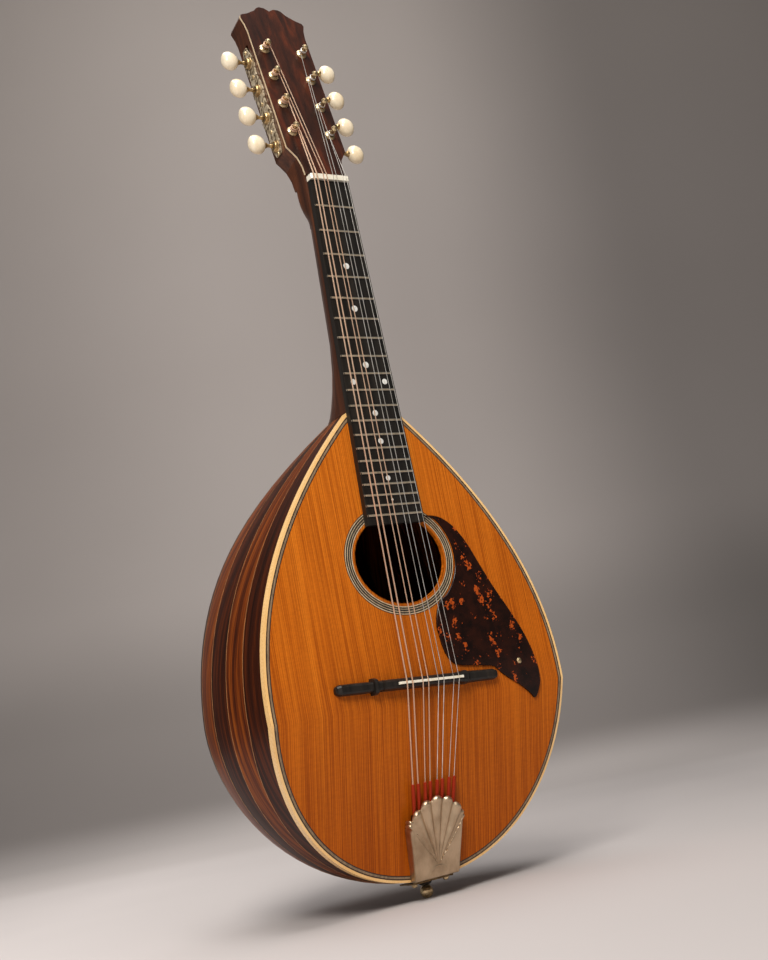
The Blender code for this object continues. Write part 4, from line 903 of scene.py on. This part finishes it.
def inlay(name, slot, material, ring, bands, proud, sunk, replaces=()):
    """Closed lines let into the soundboard, each between two insets of one outline."""
    works = [strip(ring(a), ring(b), proud, sunk) for a, b in bands]
    dress(works, name, slot, material, replaces=replaces)


def add_edge_lines():
    """The binding and the purfling on a smooth outline, with dark and light lines beside them."""
    edge = BINDING_WIDTH + GAP
    inner = edge + PURFLING_WIDTH
    whole = [(0.0, BINDING_WIDTH)]
    inlay("binding_dress", "cream_binding", BINDING, outline, whole, 0.0, BINDING_DEPTH, ["edge_binding"])
    whole = [(edge, inner)]
    inlay("purfling_dress", "grey_purfling", GREY_LINE, outline, whole, 0.0, PURFLING_DEPTH, ["purfling"])
    seam = [(inner - 0.0001, inner + 0.0014)]
    inlay("soundboard_edge", "spruce", SPRUCE, outline, seam, 0.00002, 0.0008)
    dark = [(BINDING_WIDTH - 0.0001, edge + 0.00045), (inner - 0.0003, inner + 0.00045)]
    inlay("purfling_dark_lines", "grey_purfling", DARK_LINE, outline, dark, 0.00005, 0.0003)
    light = [(edge + 0.0009, edge + 0.00125)]
    inlay("purfling_light_line", "grey_purfling", GREY_LINE, outline, light, 0.00004, 0.0003)


def hole_ring(wide):
    """The sound hole's outline, widened all round."""
    return [
        Vector(((HOLE_HALF_WIDTH + wide) * x, HOLE_Z + (HOLE_HALF_HEIGHT + wide) * y)) for x, y in circle(84)
    ]


def add_rosette_lines():
    """Rings of light and dark lines over the rosette's band."""
    low = ROSETTE_LIP
    high = ROSETTE_LIP + ROSETTE_WIDTH
    light = [
        (high - 0.0001, high - 0.0007), (high - 0.002, high - 0.0024), (low + 0.0033, low + 0.003),
        (low + 0.0017, low + 0.0011),
    ]
    dark = [(high + 0.0005, high - 0.0001), (low + 0.0011, low + 0.0008)]
    for name, slot, material, bands, proud, sunk in (
        ("rosette_ground", "ebony", ROSETTE_BAND, [(high + 0.0002, low + 0.0004)], 0.00004, 0.0002),
        ("rosette_inner_wood", "ebony", SPRUCE, [(low + 0.0009, 0.0001)], 0.00006, 0.0002),
        ("rosette_light_rings", "ebony", LIGHT_LINE, light, 0.0001, 0.0002),
        ("rosette_dark_rings", "ebony", DARK_LINE, dark, 0.00008, 0.0002),
        ("hole_edge", "spruce", SPRUCE, [(0.00045, -0.0001)], 0.00006, HOLE_EDGE_DEPTH),
    ):
        inlay(name, slot, material, hole_ring, bands, proud, sunk)


# Fingerboard

def fret_height(number):
    return SADDLE_Z + SCALE_LENGTH * 2 ** (-number / 12)


def add_frets():
    """Crowned fret wires over the cut frets, with rounded ends."""
    works = []
    crown = [
        (-0.34, 0.3), (-0.32, 0.82), (-0.22, 0.99), (-0.08, 1.06),
        (0.08, 1.06), (0.22, 0.99), (0.32, 0.82), (0.34, 0.3),
    ]
    sizes = ((-1.0, 0.55), (-0.985, 0.92), (-0.95, 1.0), (0.95, 1.0), (0.985, 0.92), (1.0, 0.55))
    for number in range(1, FRET_COUNT + 1):
        z = fret_height(number)
        reach = board_half_width(z) - 0.0004
        rings = []
        for share, size in sizes:
            ring = []
            for along, rise in crown:
                height = BOARD_TOP + rise * size * FRET_HEIGHT
                ring.append(Vector((reach * share, FACE_Y - height, z + along * FRET_WIDTH * 1.02)))
            rings.append(ring)
        works.append(loft(rings))
    dress(works, "fret_wires", "aged_brass", FRET_METAL, smooth=50.0)


def add_dots():
    """Pearl dots in their spaces: one, or a pair at the tenth."""
    works = []
    for space, xs, radius in (
        (4, (0.0,), 0.0026), (6, (0.0,), 0.0026), (9, (0.0,), 0.0026), (10, (-0.0142, 0.0142), 0.0023),
        (12, (0.0,), 0.0024), (14, (0.0,), 0.0023), (17, (0.0,), 0.0021), (19, (0.0,), 0.001),
    ):
        z = (fret_height(space - 1) + fret_height(space)) / 2
        profile = [
            (radius, -0.0003), (radius, 0.00006), (radius * 0.93, 0.00013), (radius * 0.5, 0.00018),
            (radius * 0.02, 0.0002),
        ]
        for x in xs:
            works.append(lathe(profile, Matrix.Translation((x, FACE_Y - BOARD_TOP, z)) @ TO_FRONT, 28))
    dress(works, "pearl_dots", "bone", PEARL)


# Head and tuners

def head_outline():
    """The head's outline from the nut up the right side and down the left, as x and height."""
    low = NUT_HALF_WIDTH
    wide = HEAD_HALF_WIDTH
    corner = HEAD_CORNER_HALF_WIDTH
    top = HEAD_TOP_HEIGHT
    right = [
        (low + 0.0004, 0.0015), (low + 0.0006, 0.01), (low + 0.0028, 0.0185),
        (wide - 0.0026, 0.0245), (wide, 0.028), (wide, 0.15), (wide + 0.001, 0.158),
        (corner, HEAD_CORNER_HEIGHT - 0.0015), (corner - 0.0008, HEAD_CORNER_HEIGHT + 0.001),
        (corner - 0.0075, HEAD_CORNER_HEIGHT + 0.0035), (0.015, top - 0.005), (0.0118, top - 0.0014),
        (0.009, top), (0.0045, top - 0.0003), (0.0016, top - 0.002),
    ]
    return right + [(0.0, top - 0.0032)] + [(-x, s) for x, s in reversed(right)]


def add_head_line():
    """The light veneer line under the head's dark face."""
    points = [Vector(point) for point in head_outline()]
    rings = []
    for i, point in enumerate(points):
        along = heading(points, i)
        out = Vector((along.y, -along.x)) * HEAD_LINE_PROUD
        corners = ((1, 0.0009), (1, -0.0006), (-6, -0.0006), (-6, 0.0009))
        rings.append([on_head(point.x + k * out.x, height, point.y + k * out.y) for k, height in corners])
    dress([loft(rings)], "head_line", "cream_binding", LIGHT_LINE)


def add_volute():
    """The smooth swell behind the nut, where the round neck grows into the square head."""
    rings = []
    low = NUT_Z - VOLUTE_BELOW_NUT
    square = HEAD_BASE_Z - 0.0035
    for i in range(15):
        z = low + (HEAD_BASE_Z + VOLUTE_PAST_NUT - low) * i / 14
        share = min(1.0, (z - low) / (square - low))
        ease = share * share * (3 - 2 * share)
        lean = tan(HEAD_TILT) * max(0.0, z - HEAD_BASE_Z)
        depth = NECK_DEPTH_AT_NUT + 0.0008 * (1 - share) + 0.0004 * ease + lean
        width = board_half_width(min(z, NUT_Z)) - 0.0002 + 0.0008 * ease
        power = 2.05 + 8.0 * ease ** 1.5
        front = 0.0012 + lean
        ring = []
        for j in range(25):
            across, inward = rounded_square(pi * j / 24, power)
            ring.append(Vector((width * across, FACE_Y + front + (depth - front) * inward, z)))
        rings.append(ring)
    dress([loft(rings)], "neck_volute", "mahogany", MAHOGANY, smooth=40.0)


def add_ferrules():
    """A metal ferrule round each post where it leaves the head's face."""
    profile = [
        (0.0029, -0.0002), (0.0046, -0.0002), (0.0046, 0.0003), (0.0042, 0.0009), (0.0036, 0.0012),
        (0.0032, 0.0017), (0.0029, 0.0018), (0.00275, 0.0014), (0.00275, -0.0001),
    ]
    places = [(side * POST_X, -(GAP + VENEER), s) for side in (-1, 1) for s in POST_HEIGHTS]
    matrices = [HEAD @ Matrix.Translation(place) @ TO_FRONT for place in places]
    turned(profile, matrices, 24, "post_ferrules", "aged_brass", BRIGHT_BRASS, solid=False)


def add_windings():
    """The turns of string round each post."""
    turns = 3
    steps = 18
    for index in range(STRING_COUNT):
        wound = index < WOUND_COUNT
        side, letter = (-1, "left") if wound else (1, "right")
        rank = index if wound else STRING_COUNT - 1 - index
        radius = STRING_RADII[index // 2]
        centre = HEAD @ Matrix.Translation((side * POST_X, 0.0, POST_HEIGHTS[rank]))
        low = GAP + VENEER + WIND_HEIGHT + WIND_STEP * rank - 1.6 * radius
        reach = POST_RADIUS * 0.9 + radius
        points = []
        for i in range(turns * steps + 1):
            angle = 2 * pi * i / steps
            rise = low + 2.1 * radius * i / steps
            points.append(centre @ Vector((reach * cos(angle), -rise, reach * sin(angle))))
        coil = tube(points, [radius] * len(points), 6)
        name = "winding_%s_%d" % (letter, rank + 1)
        post = "post_%s_%d" % (letter, rank + 1)
        slot, material = ("bronze_wound", WOUND) if wound else ("plain_steel", PLAIN)
        dress([coil], name, slot, material, body=post, smooth=60.0)


def on_side(side, x, s):
    """A matrix at the gears' depth whose Z points out of one side of the head."""
    return HEAD @ Matrix.Translation((side * x, GEAR_DEPTH, s)) @ Matrix.Rotation(side * pi / 2, 4, "Y")


def key_button(matrix):
    """A flat oval button, a little narrower towards its shaft."""
    rings = []
    for i in range(15):
        turn = pi * (i + 0.35) / 15.2
        share = cos(turn)
        swell = sin(turn) ** 0.62
        if share < 0:
            swell = max(swell * (1 - 0.16 * share * share), 0.3)
        along = BUTTON_CENTRE_X + BUTTON_HALF_LENGTH * share
        across = BUTTON_RADIUS * swell * 0.99
        thick = BUTTON_THICKNESS * swell ** 0.8 * 0.99
        rings.append([matrix @ Vector((across * x, thick * y, along)) for x, y in circle(28, 0.5)])
    return loft(rings)


def add_keys():
    """Smooth ivory buttons on their metal shafts, one piece for each key."""
    start = BUTTON_CENTRE_X - BUTTON_HALF_LENGTH
    profile = [
        (0.0008, 0.0113), (0.0019, 0.0118), (0.0019, PLATE_X - 0.0016), (SHAFT_RADIUS, PLATE_X - 0.0012),
        (SHAFT_RADIUS, PLATE_X + 0.005), (0.0017, PLATE_X + 0.0054), (0.0017, PLATE_X + 0.0062),
        (SHAFT_RADIUS, PLATE_X + 0.0066), (SHAFT_RADIUS, start - 0.0026), (0.0021, start - 0.0021),
        (0.0024, start - 0.001), (0.0024, start + 0.0006), (0.001, start + 0.0012),
    ]
    for side, letter in ((-1, "left"), (1, "right")):
        for number, height in enumerate(POST_HEIGHTS, 1):
            matrix = on_side(side, 0.0, height - WORM_OFFSET)
            button = key_button(matrix)
            shaft = lathe(profile, matrix, 20)
            for face in shaft.faces:
                face.material_index = 1
            key = "key_%s_%d" % (letter, number)
            works = [button, shaft]
            name = "key_dress_%s_%d" % (letter, number)
            dress(works, name, "ivory_plastic", IVORY, BRASS, body=key, replaces=[key], smooth=42.0)


def add_plate_screws():
    """Small domed screws between the bosses, and a raised rim round each boss."""
    dome = [(0.0017, -0.0002), (0.0017, 0.0002), (0.0014, 0.0007), (0.0008, 0.00095), (0.00005, 0.00102)]
    rim = [
        (0.0034, -0.0001), (0.0052, -0.0001), (0.005, 0.0006), (0.0043, 0.001), (0.0041, 0.0019),
        (0.0037, 0.0024), (0.003, 0.0026), (0.0023, 0.0023), (0.0021, 0.0014), (0.0021, 0.0002),
    ]
    base = PLATE_X + PLATE_THICKNESS
    bosses = [height - WORM_OFFSET for height in POST_HEIGHTS]
    between = [bosses[0] + POST_PITCH * (number - 0.5) for number in range(5)]
    between[0] += 0.0068
    between[4] -= 0.0032
    screws = [on_side(side, base, s) for side in (-1, 1) for s in between]
    rims = [on_side(side, base, s) for side in (-1, 1) for s in bosses]
    turned(dome, screws, 16, "plate_screws", "aged_brass", BRIGHT_BRASS)
    turned(rim, rims, 28, "plate_bosses", "aged_brass", BRASS, solid=False)


# Tailpiece

def string_x(index, course_spacing, pair_spacing):
    course, second = divmod(index, 2)
    return (course - 1.5) * course_spacing + (second - 0.5) * pair_spacing


def add_silk():
    """Red silk wound over the tail end of each string."""
    works = []
    for index in range(STRING_COUNT):
        radius = STRING_RADII[index // 2]
        tail_x = string_x(index, COURSE_SPACING_AT_TAIL, PAIR_SPACING_AT_TAIL)
        saddle_x = string_x(index, COURSE_SPACING_AT_SADDLE, PAIR_SPACING_AT_SADDLE)
        along = -SADDLE_THICKNESS / 2 - GAP
        cross_x = saddle_x * cos(BRIDGE_SKEW) + along * sin(BRIDGE_SKEW)
        cross_z = SADDLE_Z - saddle_x * sin(BRIDGE_SKEW) + along * cos(BRIDGE_SKEW)
        crest = STRING_HEIGHT_AT_SADDLE + radius + STRING_LIFT
        hook_z = TAIL_Z + HOOK_ABOVE_TAIL + HOOK_RADIUS + GAP + SILK_RADIUS * sin(BEND)
        hook = on_face(tail_x, STRING_HEIGHT_AT_HOOK, hook_z)
        cross = Vector((cross_x, FACE_Y - crest, cross_z))
        end_z = TAIL_Z + COVER_TOP_ABOVE_TAIL + SILK_ABOVE_COVER
        share = (end_z + 0.0007 - hook_z) / (cross_z - hook_z)
        stations = range(SILK_STATIONS)
        points = [hook.lerp(cross, share * i / (SILK_STATIONS - 1)) for i in stations]
        radii = [SILK_RADIUS + 0.00034 + 0.00006 * sin(7 * i + index) for i in stations]
        radii[-1] = SILK_RADIUS + 0.00012
        works.append(tube(points, radii, 12))
    dress(works, "silk_sleeves", "tortoise", SILK, smooth=60.0)


def cover_edge():
    """The cover's edge, anticlockwise from its lower right: point, share across a lobe, kind or lobe."""
    bottom = TAIL_Z + COVER_BOTTOM_ABOVE_TAIL
    fan_z = TAIL_Z + COVER_TOP_ABOVE_TAIL - FAN_BELOW_TOP
    low = Vector((COVER_BOTTOM_HALF_WIDTH, bottom))
    high = Vector((COVER_TOP_HALF_WIDTH - 0.0008, fan_z + 0.0128))
    right = [(low.lerp(high, i / 13), None, "side") for i in range(14)]
    for bead in range(2):
        centre = Vector((COVER_TOP_HALF_WIDTH - 0.0011 - 0.0004 * bead, fan_z + 0.0143 + 0.0028 * bead))
        for i in range(6):
            turn = radians(-65 + 26 * i)
            spot = centre + BEAD_RADIUS * Vector((cos(turn), sin(turn)))
            right.append((spot, (i + 0.5) / 6, "bead"))
    lobes = []
    for k in range(LOBE_COUNT):
        for i in range(15):
            share = (i + 0.5) / 15
            turn = (0.5 - (k + share) / LOBE_COUNT) * FAN_SPREAD
            reach = FAN_REACH + LOBE_REACH * sin(pi * share) ** 0.62
            spot = Vector((reach * 0.9 * sin(turn), fan_z + reach * cos(turn)))
            lobes.append((spot, share, k))
    left = [(Vector((-point.x, point.y)), share, kind) for point, share, kind in reversed(right)]
    wide = 2 * COVER_BOTTOM_HALF_WIDTH
    foot = [(Vector((wide * (i / 24 - 0.5), bottom)), None, "foot") for i in range(1, 24)]
    return right + lobes + left + foot


def flute_height(kind, share, along):
    """How far the cover's sheet stands over its flat field, across a lobe and along its length."""
    if kind == "bead":
        return 0.0009 * sin(pi * share) * exp(-((along - 0.965) / 0.032) ** 2)
    if kind in ("side", "foot"):
        return 0.0
    arch = sin(pi * share)
    groove = 1 - arch ** 0.62
    if (kind == 0 and share < 0.5) or (kind == LOBE_COUNT - 1 and share > 0.5):
        beside = min(1.0, 2.4 * min(share, 1 - share))
        arch *= beside * beside * (3 - 2 * beside)
        groove = 0.0
    grow = min(1.0, max(0.0, along - 0.03) * 1.9)
    rolled = COVER_ROLL * exp(-((along - 0.94) / 0.04) ** 2) * arch ** 0.8
    return COVER_ARCH * grow * arch - COVER_GROOVE * grow * groove + rolled


def cover_relief(x, above):
    """A raised ring, a bud and two leaves near the cover's lower end."""
    ring = (hypot(x, above - 0.0005) - 0.0078) / 0.0007
    bud = (x / 0.0016) ** 2 + ((above - 0.0058) / 0.0013) ** 2
    leaf = ((abs(x) - 0.0036) / 0.0014) ** 2 + ((above - 0.003) / 0.0017) ** 2
    return 0.00055 * exp(-ring ** 2) + 0.00045 * exp(-bud) + 0.0004 * exp(-leaf)


def add_cover():
    """The shell-shaped cover: a thin sheet with fanned flutes, rolled scallops and side walls."""
    bottom = TAIL_Z + COVER_BOTTOM_ABOVE_TAIL
    centre = Vector((0.0, bottom + FAN_CENTRE_ABOVE_BOTTOM))
    field = COVER_HEIGHT - COVER_FIELD_DROP
    ends = {"side": SIDE_END, "bead": BEAD_END, "foot": COVER_HEIGHT - FOOT_WALL}
    steps = 30
    work = bmesh.new()
    grid = []
    middle = work.verts.new((0.0, FACE_Y + fall(centre.y) - field, centre.y))
    for point, across, kind in cover_edge():
        row = []
        for j in range(1, steps + 1):
            along = j / steps
            spot = centre.lerp(point, along)
            roll = 0.0019 * max(0.0, (along - 0.93) / 0.07) ** 2
            if kind in range(LOBE_COUNT):
                roll *= sin(pi * across)
            height = field + flute_height(kind, across, along) - roll + cover_relief(spot.x, spot.y - bottom)
            row.append(work.verts.new((spot.x, FACE_Y + fall(spot.y) - height, spot.y)))
        crest = height
        end = ends.get(kind, COVER_HEIGHT - LOBE_WALL)
        for j in range(1, 5):
            height = crest + (end - crest) * j / 4
            row.append(work.verts.new((point.x, FACE_Y + fall(point.y) - height, point.y)))
        grid.append(row)
    for here, there in zip(grid, grid[1:] + grid[:1]):
        work.faces.new((middle, here[0], there[0]))
        for j in range(len(here) - 1):
            work.faces.new((here[j], here[j + 1], there[j + 1], there[j]))
    bmesh.ops.recalc_face_normals(work, faces=work.faces)
    replaced = ["tailpiece_cover"]
    item = dress([work], "cover_shell", "satin_nickel", NICKEL, body="cover", replaces=replaced, smooth=60.0)
    inner = item.modifiers.new("wall", "SOLIDIFY")
    inner.thickness = SHELL_THICKNESS
    inner.offset = -1.0


def add_tail_fittings():
    """Two round-headed screws under the tail, and the pin's dark collar."""
    bottom = TAIL_Z - GAP - BASE_THICKNESS
    dome = [
        (0.0014, -0.0004), (0.0022, -0.0002), (0.0024, 0.0006), (0.0022, 0.0015), (0.0015, 0.0022),
        (0.0006, 0.0025), (0.00005, 0.0026),
    ]
    places = [(x, FACE_Y + fall(bottom) + 0.0035, bottom) for x in (-TAIL_SCREW_X, TAIL_SCREW_X)]
    matrices = [Matrix.Translation(place) @ Matrix.Rotation(pi, 4, "X") for place in places]
    turned(dome, matrices, 20, "tail_screws", "aged_brass", BRIGHT_BRASS)
    top = bottom - GAP
    collar = [
        (0.0028, top), (0.005, top - 0.0001), (0.0053, top - 0.0008), (0.0046, top - 0.0018),
        (0.0034, top - 0.0024), (0.00265, top - 0.0026),
    ]
    place = Matrix.Translation((0, FACE_Y + PIN_DEPTH + fall(TAIL_Z), 0))
    turned(collar, [place], 28, "pin_collar", "ebony", EBONY, solid=False)


# Stage, light and camera

def backdrop_material():
    """Grey studio paper with painted light: its tone goes by height, with a painted band of shade low on the
    sweep, and painted falloff darkens it from left to right, with a painted pool of light on the floor at
    the left.
    """
    paint = Paint("studio_paper", 0.95, specular=0.1)
    here = paint.split()
    # Painted light by height: the floor is lightest, with a painted band of shade low on the sweep.
    rise = paint.math("MULTIPLY", paint.math("ADD", here["Z"], 0.004), 0.5)
    tone = paint.ramp(rise, [
        (0.0, (0.555, 0.51, 0.494)), (0.01, (0.455, 0.415, 0.398)), (0.05, (0.215, 0.193, 0.182)),
        (0.13, (0.236, 0.212, 0.199)), (0.28, (0.345, 0.309, 0.29)), (0.62, (0.345, 0.309, 0.29)),
        (0.95, (0.345, 0.308, 0.286)),
    ], "EASE")
    # Painted light falloff across the paper: darker towards the edges, most at the right, with a painted
    # pool of light on the floor at the left.
    across = paint.math("MULTIPLY", here["Y"], -0.555)
    across = paint.math("ADD", across, paint.math("MULTIPLY", here["X"], 0.832))
    across = paint.math("ADD", paint.math("MULTIPLY", across, 0.5), 0.5)
    wall = paint.ramp(across, [(0.05, 0.78), (0.4, 1.03), (0.62, 0.93), (0.9, 0.48)], "EASE")
    floor = paint.ramp(across, [(0.3, 1.26), (0.5, 0.97), (0.7, 0.74)])
    painted_light_falloff = paint.mix(paint.ramp(rise, [(0.004, 1.0), (0.02, 0.0)]), wall, floor)
    tone = paint.shade(tone, 1.0, paint.noise(0.9, 3.0), [(0.3, 0.94), (0.7, 1.04)])
    return paint.finish(paint.mix(1.0, tone, painted_light_falloff, "MULTIPLY"))


def add_stage():
    """A floor that sweeps up into a wall behind the mandola."""
    profile = [(-4.0, 0.0), (SWEEP_START, 0.0)]
    for i in range(1, 17):
        turn = pi / 2 * i / 16
        rise = SWEEP_RADIUS * (1 - cos(turn))
        profile.append((SWEEP_START + SWEEP_RADIUS * sin(turn), rise))
    profile.append((SWEEP_START + SWEEP_RADIUS, 4.5))
    aim = Matrix.Rotation(STAGE_TURN, 4, "Z")
    rows = [[aim @ Vector((x, y, z)) for y, z in profile] for x in (-4.5, 4.5)]
    sweep = loft(rows, around=False)
    item = new_object(to_mesh([sweep], "studio_sweep", 60), "studio_sweep", backdrop_material())


def add_lights():
    """Four soft lamps and a dim surrounding: name, place, target, size, power and colour."""
    for name, place, target, size, power, colour in (
        ("key", (-1.6, -2.0, 2.2), (0, 0, 0.3), (1.2, 1.2), 84, (1.0, 0.97, 0.93)),
        ("fill", (-0.4, -1.2, 3.0), (0, 0, 0.35), (1.3, 1.3), 34, (1.0, 0.98, 0.96)),
        ("top", (0.1, 0.3, 2.5), (0, 0.35, 0), (1.6, 1.6), 24, (1, 1, 1)),
        ("side", (-2.4, 1.0, 0.7), (0, 0, 0.2), (0.3, 1.5), 2.5, (1, 1, 1)),
    ):
        lamp = bpy.data.lights.new(name, "AREA")
        lamp.shape = "RECTANGLE"
        lamp.size, lamp.size_y = size
        lamp.energy = power
        lamp.color = colour
        item = bpy.data.objects.new(name, lamp)
        bpy.context.scene.collection.objects.link(item)
        item.location = place
        item.rotation_euler = (Vector(target) - Vector(place)).to_track_quat("-Z", "Y").to_euler()
    world = bpy.data.worlds.new("studio_air")
    bpy.context.scene.world = world
    world.use_nodes = True
    air = world.node_tree.nodes["Background"]
    air.inputs["Color"].default_value = (0.8, 0.79, 0.78, 1)
    air.inputs["Strength"].default_value = 0.2


def add_camera():
    """The camera that was fitted to the photograph, with its lens given in the photo's pixels."""
    camera = bpy.data.cameras.new("camera")
    camera.sensor_fit = "VERTICAL"
    camera.sensor_height = SENSOR_HEIGHT
    camera.lens = SENSOR_HEIGHT * FOCAL_PIXELS / PHOTO_PIXELS_HIGH
    camera.clip_end = 50.0
    item = bpy.data.objects.new("camera", camera)
    bpy.context.scene.collection.objects.link(item)
    right = CAMERA_RIGHT.normalized()
    ahead = CAMERA_AHEAD.normalized()
    up = right.cross(ahead).normalized()
    axes = Matrix((right, up, -ahead)).transposed()
    item.matrix_world = Matrix.Translation(CAMERA_PLACE) @ axes.to_4x4()
    bpy.context.scene.camera = item


def build():
    for step in (
        add_camera, add_lights, add_stage, paint_nodes, add_staves, add_fillets, add_edge_lines,
        add_pickguard, add_rosette_lines, add_frets, add_dots, add_head_line, add_volute, add_ferrules,
        add_windings, add_keys, add_plate_screws, add_silk, add_cover, add_tail_fittings,
    ):
        step()
    bpy.context.scene.view_settings.view_transform = "Standard"


build()
